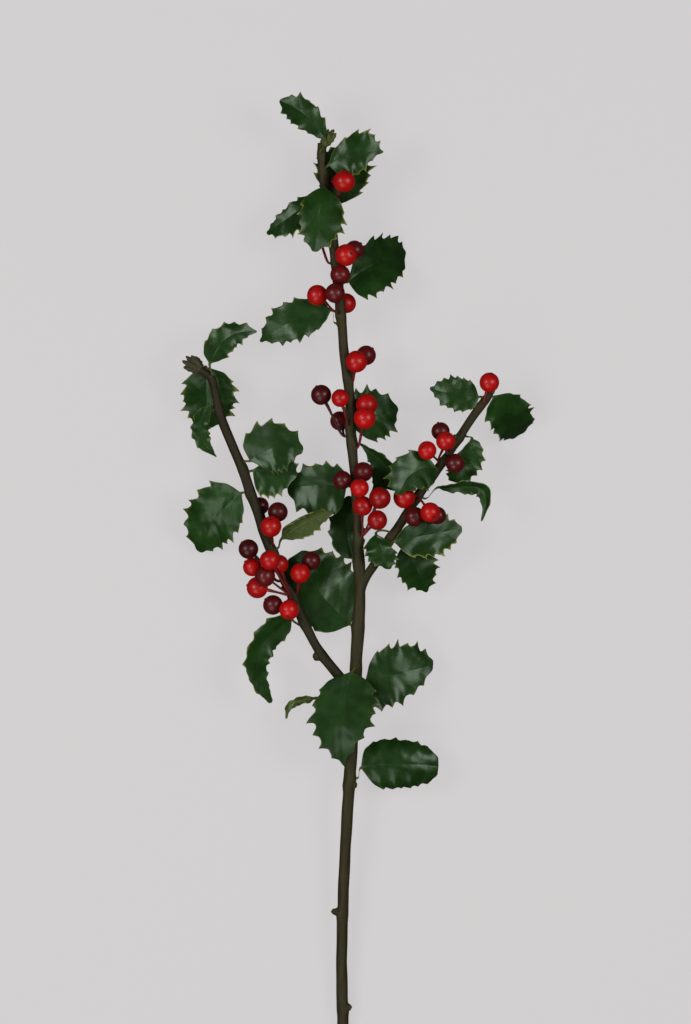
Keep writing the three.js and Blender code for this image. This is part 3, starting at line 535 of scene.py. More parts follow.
def stub_skin(number, wood, y, side, length, radius):
    """A knob along its own straight axis: it flares where it leaves the bark, narrows a
    little, and rounds over to an uneven end."""
    rng = np.random.default_rng(STUB_SEED + number)
    centre, along, girth = axis_at(wood, y)
    out = outward(along, side)
    share, turn = grid(*STUB_GRID)
    reach = girth * STUB_START + share * (length + girth * STUB_START)
    flare = 0.25 * np.exp(-((share - 0.35) / 0.2) ** 2)
    width = radius * (STUB_FOOT - STUB_NARROWS * share + flare)
    width = width * np.sqrt(np.clip(1 - share ** 9, 0, 1)) + 0.02
    rough = (1 + 0.06 * np.sin(3 * turn + rng.uniform(0, 6))
             + 0.05 * np.sin(5 * turn + 9 * share))
    tilt = 0.22 * share ** 6 * np.sin(2 * turn + rng.uniform(0, 6))
    rings = (centre + out * (reach + tilt)[..., None]
             + spokes(*square_to(out), turn) * (width * rough)[..., None])
    return skin(
        rings, kind=triple(0 * turn, 0.3 + 0.5 * share, 0),
        grain=grained(width, turn, reach + 40.0 * number))


stubs = build("twig_stubs", [stub_skin(k, *stub) for k, stub in enumerate(STUBS)], bark_material)
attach(stubs, "root")
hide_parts("stem")

# ---- End buds --------------------------------------------
# Each shoot ends in a tuft of narrow pointed scales, olive green at the top, browner on the
# side branches, every scale keeled and hooked outward at its point.

# Each bud: its name, wood and height, its girth, its share of brown, and its scales, which
# lean sideways and up by parts of their forward aim and have a length in mm.
BUDS = [
    ("bud_top", MAIN, 222.5, 2.3, 0,
     [(0.4, 0.2, 10), (0.7, 0.1, 11), (1.05, 0.2, 10.3), (0.6, 0.5, 9)]),
    ("bud_left", LEFT, 112.6, 2.2, 1,
     [(0.28, 0.1, 11), (0, 0.25, 11.5), (0.54, 0.2, 9.6), (0.8, 0, 8), (-0.27, 0.1, 9.6)]),
    ("bud_right", RIGHT, 99.5, 1.3, 0.3, [(0.2, 0.1, 5.5), (-0.3, 0.2, 5)]),
]
SCALE_GRID = (34, 24)
SCALE_FULL = 0.80     # half the width of a scale, as a part of the bud's girth
SCALE_FOOT = 0.78     # the same, at its foot
SCALE_POINT = 0.07    # half the width of its point, in mm
SCALE_WIDEST = 0.45
SCALE_KEEL = 0.16
SCALE_NOTCH = 0.10
SCALE_HOOK = 0.07     # how far its point hooks outward, as a part of its length
BUD_GREEN = (0.070, 0.090, 0.016)
BUD_LIGHT = (0.130, 0.150, 0.034)
BUD_BROWN = (0.034, 0.032, 0.012)
BUD_TAN = (0.062, 0.060, 0.020)
BUD_TIP = (0.035, 0.022, 0.010)


def scale_skin(number, wood, y, girth, brown, lean_side, lean_up, length):
    """A bud scale along its aim: round at its foot, widest past its middle, drawn out to a
    thin point that hooks outward, and flattened to a keeled lens."""
    centre, along, _ = axis_at(wood, y)
    aim = unit(along + outward(along, 0) * lean_side + outward(along, 90) * lean_up)
    right, up = square_to(aim)
    share, turn = grid(*SCALE_GRID)
    belly = np.clip(1 - ((share - SCALE_WIDEST) / 0.56) ** 2, 0, 1) ** 0.75
    wide = girth * SCALE_FULL * belly + SCALE_POINT
    wide = np.maximum(wide, girth * SCALE_FOOT * (1 - share / 0.5))
    thick = wide * (0.95 - 0.45 * share) + 0.05
    keel = 1 + SCALE_KEEL * np.abs(np.sin(turn)) ** 6
    notch = 1 + SCALE_NOTCH * np.sin(share * 26 + 2.1 * number) * np.abs(np.cos(turn)) ** 4
    hook = SCALE_HOOK * length * share ** 3
    rings = (centre + aim * (length * share)[..., None]
             + right * (wide * np.cos(turn) * notch)[..., None]
             + up * (thick * np.sin(turn) * keel * 0.8 + hook)[..., None])
    return skin(
        rings, scale=triple(share, np.cos(turn), brown),
        grain=grained(wide, turn, length * share + 20.0 * number))


bud = Finish("bud_scale", Roughness=0.55, Specular_IOR_Level=0.35)
share, _, brown = bud.mark("scale")
fibres = bud.noise(bud.drawn_out(bud.place("grain"), 0.2), 2.2, detail=3)
light = fibres.step(0.35, 0.7)
bud_colour = bud.coats(
    bud.mix(light, BUD_GREEN, BUD_LIGHT), (brown, bud.mix(light, BUD_BROWN, BUD_TAN)),
    (share.step(0.72, 1.0) * 0.6, BUD_TIP))
bud_material = bud.done(height=fibres, distance=0.15 * MM, Base_Color=bud_colour)

for name, wood, y, girth, brown, scales in BUDS:
    tuft = build(name, [
        scale_skin(k, wood, y, girth, brown, *scale) for k, scale in enumerate(scales)
    ], bud_material)
    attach(tuft, "root")
    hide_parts("stem")

# ---- Leaves ----------------------------------------------
# Thick waxy blades cut into spines round a pale horny margin, deep green and glossy above,
# olive and dull beneath.  Each grows from a short stalk that is sunk into the wood.

ROOT_DEPTH = 1.4         # how far a root is sunk into the wood
MOUTH = 0.5              # how far a root runs straight out of the bark
LEAF_ROOT_HALF = 0.55    # half the width of a leaf stalk in the wood
STALK_WIDENS = 0.15      # how much wider it is at the blade, on each side
STALK_EASE = 0.4         # how gently it bends, as a part of its length
STALK_THICK = 1.0
STALK_SHARE = 0.12       # how long it counts in the blade's pattern, as a part of the blade
STALK_STATIONS = 14
SPINE_HALF = 0.16        # half the width of the spine at a leaf's tip
SPINE_LEAN = 0.45        # how far the spines lean forward, as a part of their length
SPINE_SHARP = 1.7
SPINE_UNEVEN = 0.35      # how far the spines of a leaf differ in length
BLADE_THICK = 0.5
BLADE_OPENS = 0.035      # how soon the blade opens out of its stalk
LEAF_SEED = 100
LEAF_STATIONS = 98
LEAF_COLUMNS = 41
EDGE_CROWDING = 0.6      # how far the columns crowd towards the margins
RAGGED = 0.22            # small nicks in the margin
WAVE_LAG = 1.8           # how far the right margin's waves trail the left one's, radians
VEIN_GAP = 4.2
VEIN_SLANT = 0.75
VEIN_LAG = 0.35          # how far the left half's veins lie ahead of the right half's
QUILT = 0.035            # how far the blade swells between its veins
# Broad dents that cross the blade in any direction: how deep they are, and how far apart.
DENTS = ((0.20, 21.0), (0.10, 12.0), (0.055, 7.5), (0.020, 4.3))
RIB_HALF = 0.55
RIB_SUNK = 0.045         # how far the midrib is sunk above
RIB_PROUD = 0.38         # how far it stands out beneath

LEAF_SHAPE = dict(
    width=20,     # across the longest spines
    teeth=5,      # spines on each side
    bite=0.18,    # how deep the margin is cut between spines
    sweep=0.4,    # how far the spines point forward
    widest=0.42,  # where the blade is widest
    foot=0.45,    # how square the blade's foot is: 1 is pointed, 0.3 nearly square
    taper=0.75,   # the same at its tip
    slant=0,      # how far the left half is pushed forward along the right one
    roll=0,       # turn of the whole blade about its length
    arch=0.1,     # rise of the midrib above the straight line from base to tip
    nod=0,        # the same, but strongest near the tip
    bow=0,        # sideways bend of the midrib, to the left seen from above
    hook=0,       # the same, but strongest near the tip
    wider=0,      # how much wider the left half is than the middle of the two
    fold=6,       # rise of each half from the midrib
    curl=0,       # further turn of each half from the midrib to its margin
    tuck=0,       # the same, on the right half only
    wave=1.0,     # height of the waves in the margin
    waves=2.5,    # waves from base to tip
    phase=0,      # where the first wave starts
    rim=0.35,     # how much of the margin is pale
    pucker=1.0,   # how uneven its faces are
    # The tone of some leaves is painted light: lowered as painted shade where other leaves or
    # berries shadow them, and raised as painted sheen on left_outer.
    tone=0.5,     # how light its green is; above 1 it is olive on both faces
)
# Each leaf: its name, the wood it grows on, the height and side of its root, its blade from
# base to tip, and where its shape is its own.  The stem's leaves come first, then those of
# the left and right branches.
LEAVES = [
    ("top_left", MAIN, 220.5, 110, (-14.6, 226.8, 31.2), (-37, 246, 30), dict(
        width=15, widest=0.52, arch=0.08, bow=-0.085, tone=0.38)),
    ("top_right", MAIN, 212.5, 60, (-12.8, 213.8, 31.5), (14, 220, 32), dict(
        width=22.5, sweep=0.3, foot=0.4, taper=1.25, slant=0.35, arch=0.08, bow=0.08, curl=-20,
        wave=1.5, waves=3, rim=0.8)),
    ("top_back", MAIN, 196, -60, (-8.5, 195, 18.5), (-3, 225, 9), dict(
        width=30, teeth=6, sweep=0.2, widest=0.48, rim=0.6, tone=0.3)),
    ("top_hanging", MAIN, 203.5, 110, (-15.5, 203, 31.5), (-20.2, 171.2, 31), dict(
        width=24, widest=0.34, foot=0.3, taper=0.7, arch=0.16, wider=0.12, curl=-15, rim=0.7)),
    ("top_side", MAIN, 198.5, 185, (-18, 198, 26.5), (-43.5, 180.8, 19), dict(
        width=16, widest=0.3, roll=20, wider=0.3, rim=0.6, tone=0.42)),
    ("upper_right", MAIN, 157, 0, (-3, 157.5, 25), (25, 169.5, 4.65), dict(
        width=29.5, teeth=6, sweep=0.2, widest=0.45, foot=0.35, taper=0.35, slant=0.6, roll=-14,
        arch=0.12, bow=0.08, wider=-0.05, rim=0.1)),
    ("upper_left", MAIN, 136, 175, (-12, 142.3, 24.5), (-46.8, 127, 19), dict(
        width=21, teeth=6, sweep=0.25, foot=0.4, taper=1, arch=0.08, nod=0.04, bow=-0.065,
        rim=0.2)),
    ("mid_back", MAIN, 86, -70, (-1.5, 86, 19), (21.5, 95.5, 9), dict(
        width=29, sweep=0.05, widest=0.38, foot=0.28, taper=0.9, slant=-0.1, arch=0.12, bow=0.04,
        wider=0.05)),
    ("mid_curled", MAIN, 75.5, 5, (3, 76, 25), (21, 53.5, 20), dict(
        width=17, widest=0.62, foot=0.8, roll=25, bow=0.1, wider=-0.4, fold=14, curl=20, tone=0.4)),
    ("crown_left", MAIN, 57, 185, (-4.2, 56, 22), (-33.5, 55, 15), dict(
        width=29, sweep=-0.1, foot=0.3, taper=0.6, arch=0.08, bow=-0.03, wider=0.2, rim=0.3,
        tone=0.42)),
    # Its tone is lowered as painted shade from the leaves in front of it.
    ("crown_back", MAIN, 18, 205, (-1.2, 20, 20), (-2.5, 51, 11), dict(
        width=18, teeth=4, sweep=0.05, foot=0.32, arch=0.04, bow=0.08, tone=0.12)),
    ("fork_left", MAIN, -13, 200, (-3.5, -12, 18.5), (-31.4, 22, 10), dict(
        width=39, teeth=6, bite=0.15, sweep=0.15, widest=0.4, foot=0.28, taper=0.5, arch=0.05,
        bow=0.04, wider=-0.14, tone=0.4)),
    ("low_front", MAIN, -33.5, 95, (-2, -36, 28), (-5.7, -82.3, 26), dict(
        width=33, teeth=6, sweep=0.05, widest=0.38, taper=1.15, slant=-0.2, arch=0.12, bow=-0.055,
        fold=1, phase=0.3, rim=0.1, pucker=0.8, tone=0.44)),
    ("low_right", MAIN, -41, 0, (5.2, -40.8, 20), (38.8, -32.3, 12), dict(
        width=31.5, teeth=6, sweep=-0.1, widest=0.37, foot=0.25, taper=0.65, slant=0.35, arch=0.08,
        fold=3, wave=1.6, waves=3, rim=0.25, tone=0.45)),
    ("lowest", MAIN, -88.5, 10, (3.2, -83.5, 19), (41.4, -83, 15), dict(
        width=28.5, teeth=6, bite=0.1, sweep=0.15, widest=0.36, foot=0.25, taper=0.35, slant=-0.1,
        arch=0.08, bow=0.04, curl=-60, wave=1.1, waves=4.5, rim=0.15, tone=0.4)),
    ("small_curled", MAIN, -51, 190, (-20.5, -49.3, 17), (-34, -59.5, 16), dict(
        width=3.8, teeth=2, bow=-0.13, hook=-0.12, fold=10, curl=20, pucker=0.2, tone=1.3)),
    ("left_crown", LEFT, 109.5, 60, (-71.3, 116.5, 28.5), (-48.3, 132.2, 24), dict(
        width=14.5, sweep=0.2, widest=0.35, foot=0.28, taper=0.9, bow=0.19, wider=0.05, curl=-20,
        rim=0.8)),
    ("left_back", LEFT, 112.5, -90, (-74, 115, 17.4), (-73.8, 85.5, 0.3), dict(
        width=28.5, teeth=6, sweep=0.1, widest=0.38, foot=0.28, taper=0.6, slant=-0.05, wider=0.12,
        wave=1.4, rim=0.8, pucker=1.5, tone=0.55)),
    ("left_hanging", LEFT, 94.5, 150, (-71.6, 96.2, 28), (-68.4, 70.6, 27), dict(
        width=9, taper=1, bow=-0.24, curl=-20, rim=0.7)),
    ("inner_upper", LEFT, 67, 15, (-51.6, 68.4, 25.4), (-25.5, 73.5, 28), dict(
        width=28, sweep=0.1, foot=0.35, taper=0.8, slant=-0.1, bow=0.15, wider=0.02, wave=0.7,
        tone=0.42)),
    ("inner_lower", LEFT, 62, -10, (-50, 63.5, 23), (-28.3, 61, 23), dict(
        width=24, widest=0.35, foot=0.28, slant=0.3, arch=0.06, wider=-0.1, rim=0.7)),
    # Its tone is raised as painted sheen.
    ("left_outer", LEFT, 53, 175, (-56.4, 51.6, 24.6), (-77.5, 22.5, 5), dict(
        width=29.5, teeth=6, sweep=0.1, widest=0.4, foot=0.28, taper=0.8, slant=0.12, bow=-0.08,
        wider=-0.08, fold=3, wave=1.8, rim=0.3, pucker=2, tone=0.62)),
    ("left_twisted", LEFT, 23.5, 25, (-36, 29.7, 27.4), (-10.7, 42.5, 26), dict(
        width=14.5, teeth=4, widest=0.35, foot=0.75, taper=0.9, roll=175, arch=0.05, bow=0.07,
        tuck=-150, rim=0.8)),
    ("left_low", LEFT, -12, 195, (-31.6, -10.4, 22.5), (-41.3, -51.7, 18), dict(
        width=14.5, teeth=6, sweep=0, widest=0.27, foot=0.18, taper=0.55, roll=-20, bow=-0.28,
        rim=0.5, tone=0.42)),
    ("tip_left", RIGHT, 98.5, 170, (61, 99.8, 24), (37.2, 104.3, 21), dict(
        width=17.5, teeth=6, sweep=0, foot=0.3, taper=1, slant=-0.1, bow=0.03, wider=-0.05)),
    ("tip_right", RIGHT, 101, 5, (69.2, 100.2, 24), (82.3, 81.6, 0.2), dict(
        width=23.5, sweep=0.1, foot=0.22, taper=0.45, slant=0.05, arch=0.12, bow=0.03, wave=1.5,
        waves=3, tone=0.45)),
    ("right_outer", RIGHT, 81.5, 0, (57.8, 78.9, 24.6), (48, 58, 19), dict(
        width=14.5, widest=0.5, foot=0.4, taper=0.5, slant=-0.5, bow=0.08, wider=0.2, rim=0.5)),
    ("right_curled", RIGHT, 51.5, -10, (42, 55.3, 23.5), (62.5, 38.5, 24), dict(
        width=9, sweep=0, widest=0.6, taper=1, roll=35, bow=0.14, hook=0.34, fold=16, curl=10)),
    ("right_inner", RIGHT, 62, 110, (39.8, 64, 30), (21.2, 51, 38.5), dict(
        width=23, sweep=0.2, foot=0.3, slant=-0.25, bow=-0.2)),
    # Its tone is lowered as painted shadow from the berries over it.
    ("fork_front", RIGHT, 27, 70, (19.3, 28.8, 28), (53, 35, 19.5), dict(
        width=21, teeth=6, foot=0.4, taper=0.65, slant=0.15, roll=-3, arch=0.02, wider=-0.12,
        rim=0.9, tone=0.36)),
    ("fork_side", RIGHT, 32, 150, (10.5, 32, 28.5), (16.6, 15, 30), dict(
        width=15, teeth=4, slant=0.3, arch=0.12, wider=-0.15, rim=0.6, tone=0.42)),
    ("fork_back", RIGHT, 30, -30, (24.5, 27.5, 19), (36, 3.2, 8), dict(
        width=21, sweep=0.3, widest=0.38, taper=1, wider=0.05, tone=0.38)),
]
LEAF_GREEN = (0.0105, 0.040, 0.0045)
LEAF_LIGHT = (0.0175, 0.062, 0.0075)
LEAF_PALE = (0.0250, 0.075, 0.0130)
LEAF_DARK = (0.0090, 0.036, 0.0045)
LEAF_VEIN = (0.045, 0.105, 0.025)
UNDER_OLIVE = (0.060, 0.088, 0.018)
UNDER_LIGHT = (0.085, 0.118, 0.026)
UNDER_VEIN = (0.16, 0.19, 0.06)
LEAF_RIM = (0.42, 0.44, 0.07)
LEAF_THORN = (0.22, 0.23, 0.06)
LEAF_STALK = (0.085, 0.095, 0.022)


def turned_about(vectors, axis, angle):
    """Vectors turned about an axis by an angle in radians."""
    cos, sin = np.cos(angle)[..., None], np.sin(angle)[..., None]
    along = np.sum(vectors * axis, axis=-1, keepdims=True)
    return vectors * cos + np.cross(axis, vectors) * sin + axis * along * (1 - cos)


def root_at(wood, y, side):
    """Where a root sits: its inner end, the mouth of its socket and its direction."""
    centre, along, radius = axis_at(wood, y)
    out = outward(along, side)
    inner, mouth = (centre + out * (radius[0] + far) for far in (-ROOT_DEPTH, MOUTH))
    return inner[0], mouth[0], out[0]


def bent(start, after_start, before_end, end, steps):
    """Parts t of the way along a bend and its points, by the cubic Bezier formula: start,
    handles and end are weighted by (1-t)³, 3t(1-t)², 3t²(1-t) and t³."""
    t = np.linspace(0, 1, steps)[:, None]
    return t, ((1 - t) ** 3 * start + 3 * t * (1 - t) ** 2 * after_start
               + 3 * t * t * (1 - t) * before_end + t ** 3 * end)


def eased(b, foot, tip):
    """One in the blade and nothing at its ends, with slopes as long as foot and tip."""
    return np.clip(b / foot, 0, 1) * np.clip((1 - b) / tip, 0, 1)


def midrib(leaf, a):
    """The midrib at parts a of the way from base to tip, with its directions ahead, out of
    the blade and to the left.  It rises as 4a(1-a), and late as 6.75a²(1-a), above the
    straight line from base to tip and beside it."""
    along = leaf.tip - leaf.base
    length = np.linalg.norm(along)
    along = along / length
    up = unit(np.array([0, 0, 1.0]) - along * along[2])
    left = np.cross(up, along)
    a = a[..., None]
    rise, rise_rate = 4 * a * (1 - a), 4 - 8 * a
    late, late_rate = 6.75 * a * a * (1 - a), 6.75 * a * (2 - 3 * a)
    point = (leaf.base + along * length * a + up * length * (leaf.arch * rise + leaf.nod * late)
             + left * length * (leaf.bow * rise + leaf.hook * late))
    ahead = unit(along + up * (leaf.arch * rise_rate + leaf.nod * late_rate)
                 + left * (leaf.bow * rise_rate + leaf.hook * late_rate))
    normal = unit(up - ahead * np.sum(up * ahead, axis=-1, keepdims=True))
    normal = turned_about(normal, ahead, np.radians(leaf.roll))
    return point, ahead, normal, np.cross(normal, ahead)


def half_widths(leaf, b, hand):
    """Half the width of the flat blade without its spines, and how far the spines stand out
    of it: a rounded oval with a narrow foot, and a sharp cusp at each whole tooth."""
    bend = math.log(0.5) / math.log(leaf.widest)
    oval = np.clip(np.sin(np.pi * b ** bend), 0, 1) ** (leaf.foot * (1 - b) + leaf.taper * b)
    foot = 1 - np.exp(-b / BLADE_OPENS)
    tooth = b * (leaf.teeth + 1)
    spine = np.abs(2 * (tooth % 1) - 1) ** SPINE_SHARP
    uneven = 1 + SPINE_UNEVEN * np.sin(2.4 * np.round(tooth) + 1.7 * hand + leaf.phase * 9)
    stalk = (LEAF_ROOT_HALF + STALK_WIDENS) * (1 - b) + SPINE_HALF * b
    half = leaf.width / 2 * (1 + leaf.wider * hand)
    return (stalk + half * oval * foot * (1 - leaf.bite),
            half * np.sqrt(oval) * foot * leaf.bite * spine * uneven)


def on_blade(leaf, a, d):
    """Points of the bent blade, a along the midrib and d out from it, left positive: each
    half leaves the midrib at the fold and curls on in an arc, and waves grow as the square
    of the way out."""
    point, _, normal, side = midrib(leaf, a)
    half = leaf.width / 2
    out = np.abs(d)
    curl = leaf.curl + np.where(d < 0, leaf.tuck, 0)
    curl = np.radians(np.where(curl == 0, 0.1, curl))
    fold = math.radians(leaf.fold)
    turned = fold + curl * out / half
    across = (half / curl) * (np.sin(turned) - math.sin(fold))
    rise = (half / curl) * (math.cos(fold) - np.cos(turned))
    phase = 2 * np.pi * (leaf.waves * a + leaf.phase) + np.where(d < 0, WAVE_LAG, 0)
    wave = leaf.wave * (out / half) ** 2 * np.sin(phase)
    return point + side * (np.sign(d) * across)[..., None] + normal * (rise + wave)[..., None]


def leaf_skin(number, leaf, root):
    """A leaf with its stalk as one row of flat rings.  A station has the same columns from
    the left margin to the right one; its thickness follows a curve that is round in the
    stalk and nearly square in the blade, and swells at the midrib beneath."""
    rng = np.random.default_rng(LEAF_SEED + number)
    inner, mouth, out = root
    length = np.linalg.norm(leaf.tip - leaf.base)
    u = np.linspace(1, -1, LEAF_COLUMNS)
    v = u - EDGE_CROWDING * np.sin(2 * np.pi * u) / (2 * np.pi)
    hand = np.sign(v)

    _, ahead, normal, side = (part[0] for part in midrib(leaf, np.zeros(1)))
    reach = STALK_EASE * np.linalg.norm(leaf.base - mouth)
    t, path = bent(
        mouth, mouth + out * reach, leaf.base - ahead * reach, leaf.base, STALK_STATIONS)
    path = np.concatenate([inner[None], path])
    t = np.concatenate([[0.0], t[:, 0]])
    hinge = np.cross(ahead, out)
    angle = math.atan2(np.linalg.norm(hinge), np.dot(ahead, out))
    stalk_side, stalk_normal = (
        turned_about(np.broadcast_to(way, path.shape), unit(hinge), (1 - t) * angle)
        for way in (side, normal))
    stalk_d = v * (LEAF_ROOT_HALF + STALK_WIDENS * t)[:, None]
    stalk = path[:, None] + stalk_side[:, None] * stalk_d[..., None]
    stalk_out = np.broadcast_to(stalk_normal[:, None], stalk.shape)

    per_tooth = round(LEAF_STATIONS / (leaf.teeth + 1))
    b = np.linspace(0, 1, per_tooth * (leaf.teeth + 1) + 1)[1:, None]
    half, spine = half_widths(leaf, b, hand)
    forward = leaf.sweep * (1 - b ** 3) * np.abs(v) ** 1.5 + leaf.slant * v
    smooth_a = b + forward * (half + spine * 0.4) / length
    smooth_d = v * half
    step = 0.25
    on = step / length
    ahead = on_blade(leaf, smooth_a + on, smooth_d) - on_blade(leaf, smooth_a - on, smooth_d)
    left = on_blade(leaf, smooth_a, smooth_d + step) - on_blade(leaf, smooth_a, smooth_d - step)
    blade_out = unit(np.cross(ahead, left))
    edge = np.abs(v) ** 7
    a = b + (forward * (half + spine) + SPINE_LEAN * spine * edge) / length
    nicks = RAGGED * (np.sin(b * length * 1.7 + rng.uniform(0, 6.3))
                      + np.sin(b * length * 0.8 + hand))
    d = smooth_d + hand * (spine + nicks * eased(b, 0.1, 0.1)) * edge

    run, off = a * length, np.abs(d)
    vein = (run - VEIN_SLANT * off) / VEIN_GAP + VEIN_LAG * hand
    quilt = (QUILT * (np.abs(np.sin(np.pi * vein)) - 0.6)
             * np.sqrt(np.clip(1 - v ** 2, 0, 1)) * np.clip(off / 1.5, 0, 1))
    dents = 0
    for height, pitch in DENTS:
        heading, start = rng.uniform(0, 6.3, 2)
        dents += height * np.sin(
            (run * math.cos(heading) + d * math.sin(heading)) * 2 * math.pi / pitch
            + 0.9 * np.sin(d / pitch * 3 + start) + start)
    relief = leaf.pucker * (quilt + dents * eased(b, 0.1, 0.15))
    blade = on_blade(leaf, a, d) + blade_out * relief[..., None]

    sheet = np.concatenate([stalk, blade])
    outs = np.concatenate([stalk_out, blade_out])
    b = np.concatenate([-STALK_SHARE * (1 - t), b[:, 0]])[:, None]
    grown = np.clip(b / 0.1, 0, 1)
    square = 2 + 8 * grown
    rounding = np.clip(1 - np.abs(v) ** square, 0, 1) ** (1 / square)
    thick = (STALK_THICK * (1 - grown) + BLADE_THICK * grown) / 2
    d = np.concatenate([stalk_d, d])
    rib = np.exp(-(d / RIB_HALF) ** 2) * grown * (1 - b)
    top = sheet + outs * (thick * rounding - RIB_SUNK * rib)[..., None]
    under = sheet - outs * (thick * rounding + RIB_PROUD * rib)[..., None]
    run = np.concatenate([length * b[:len(t)] + 0 * stalk_d, run])
    tooth = np.clip(b, 0, 1) * (leaf.teeth + 1)
    thorn = np.abs(2 * (tooth % 1) - 1) ** 3 * np.abs(hand)

    def both_faces(front, back):
        """Rings from the upper face and, back the other way, the under one."""
        return np.concatenate([front, back[:, -2:0:-1]], axis=1)

    face = np.abs(v) < 0.999
    # The third number is the leaf's tone, which carries painted shade or painted sheen on some
    # leaves.
    part = triple(b, np.abs(v), leaf.tone)
    kind = triple(leaf.rim, thorn, number)
    return skin(
        both_faces(top, under), blade=both_faces(triple(run, d, face), triple(run, d, -1.0 * face)),
        part=both_faces(part, part), kind=both_faces(kind, kind))


holly = Finish(
    "holly_leaf", Specular_IOR_Level=0.37, Specular_Tint=(0.78, 1.0, 0.72, 1),
    Coat_Roughness=0.24, Coat_Tint=(0.9, 1.0, 0.88, 1))
run, off, face = holly.mark("blade")
grown, way_out, tone = holly.mark("part")
rim, spine, number = holly.mark("kind")
away = abs(off)
upper = face.step(-0.5, 0.5)
spot = holly.node("ShaderNodeCombineXYZ", {0: run, 1: off, 2: number * 7.3 + face * 2})
cloud = holly.noise(spot, 0.11)
patch = holly.noise(spot, 0.22)
mottle = holly.noise(spot, 0.55, detail=3, rough=0.6)
fine = holly.noise(spot, 2.4)
vein = ((run - away * VEIN_SLANT) / VEIN_GAP + VEIN_LAG * off.math("SIGN") + (mottle - 0.5) * 0.12)
vein = 1 - abs(abs(vein.math("FRACT") - 0.5) - 0.5).step(0.0, 0.075)
vein = vein * (1 - way_out.step(0.75, 0.97)) * away.step(0.2, 0.8) * grown.step(0.0, 0.08)
vein = vein * mottle.step(0.35, 0.6)
rib = (1 - away.step(0.15, 0.5)) * (1 - grown) * grown.step(-0.02, 0.06)
line = way_out.step(0.955 - rim * 0.05, 0.985) * patch.step(0.62, 0.48) * rim
thorn = way_out.step(0.80, 0.99) * spine.step(0.35, 0.9) * (0.25 + rim * 0.75)
stalk = 1 - grown.step(-0.03, 0.05)

green = holly.coats(
    LEAF_GREEN, (cloud.step(0.35, 0.65), LEAF_LIGHT), (patch.step(0.4, 0.7) * 0.4, LEAF_PALE),
    (mottle.step(0.4, 0.75) * 0.35, LEAF_DARK), (vein * 0.08 + rib * 0.05, LEAF_VEIN))
olive = holly.coats(
    UNDER_OLIVE, (mottle.step(0.3, 0.7), UNDER_LIGHT), (vein * 0.3 + rib * 0.8, UNDER_VEIN))
leaf_colour = holly.mix(upper * (1 - tone.step(1.0, 1.2)), olive, green)
# Scaling the green by the tone gives each leaf its own lightness, and paints shade or sheen on some
# of them.
leaf_colour = holly.node(
    "ShaderNodeVectorMath", {0: leaf_colour, "Scale": 0.35 + tone.math("MINIMUM", 0.65)},
    operation="SCALE")
leaf_colour = holly.coats(
    leaf_colour, (line * 0.75, LEAF_RIM), (thorn * 0.35, LEAF_THORN), (stalk * 0.85, LEAF_STALK))
leaf_material = holly.done(
    height=(1 - vein) * 0.06 + (1 - rib) * 0.03 + mottle * 0.5 + fine * 0.10,
    distance=0.10 * MM, Base_Color=leaf_colour, Coat_Weight=upper * 0.16 * (1 - stalk),
    Roughness=(0.62 - upper * 0.30) + (mottle - 0.5) * 0.12 + fine * 0.03)

for number, (name, wood, y, side, base, tip, shape) in enumerate(LEAVES):
    leaf = SimpleNamespace(**{**LEAF_SHAPE, **shape})
    leaf.base, leaf.tip = np.array(base, float), np.array(tip, float)
    skins = [leaf_skin(number, leaf, root_at(wood, y, side))]
    blade = build("holly_leaf_" + name, skins, leaf_material, "leaf_" + name)
    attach(blade, "root")
    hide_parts("leaf_" + name)

# ---- Berries ---------------------------------------------
# Round shining fruits, bright red or a deep wine colour, each with a dry four-lobed star at
# its far end.  The slim red stalks of a bunch part from one root that is sunk in the bark.

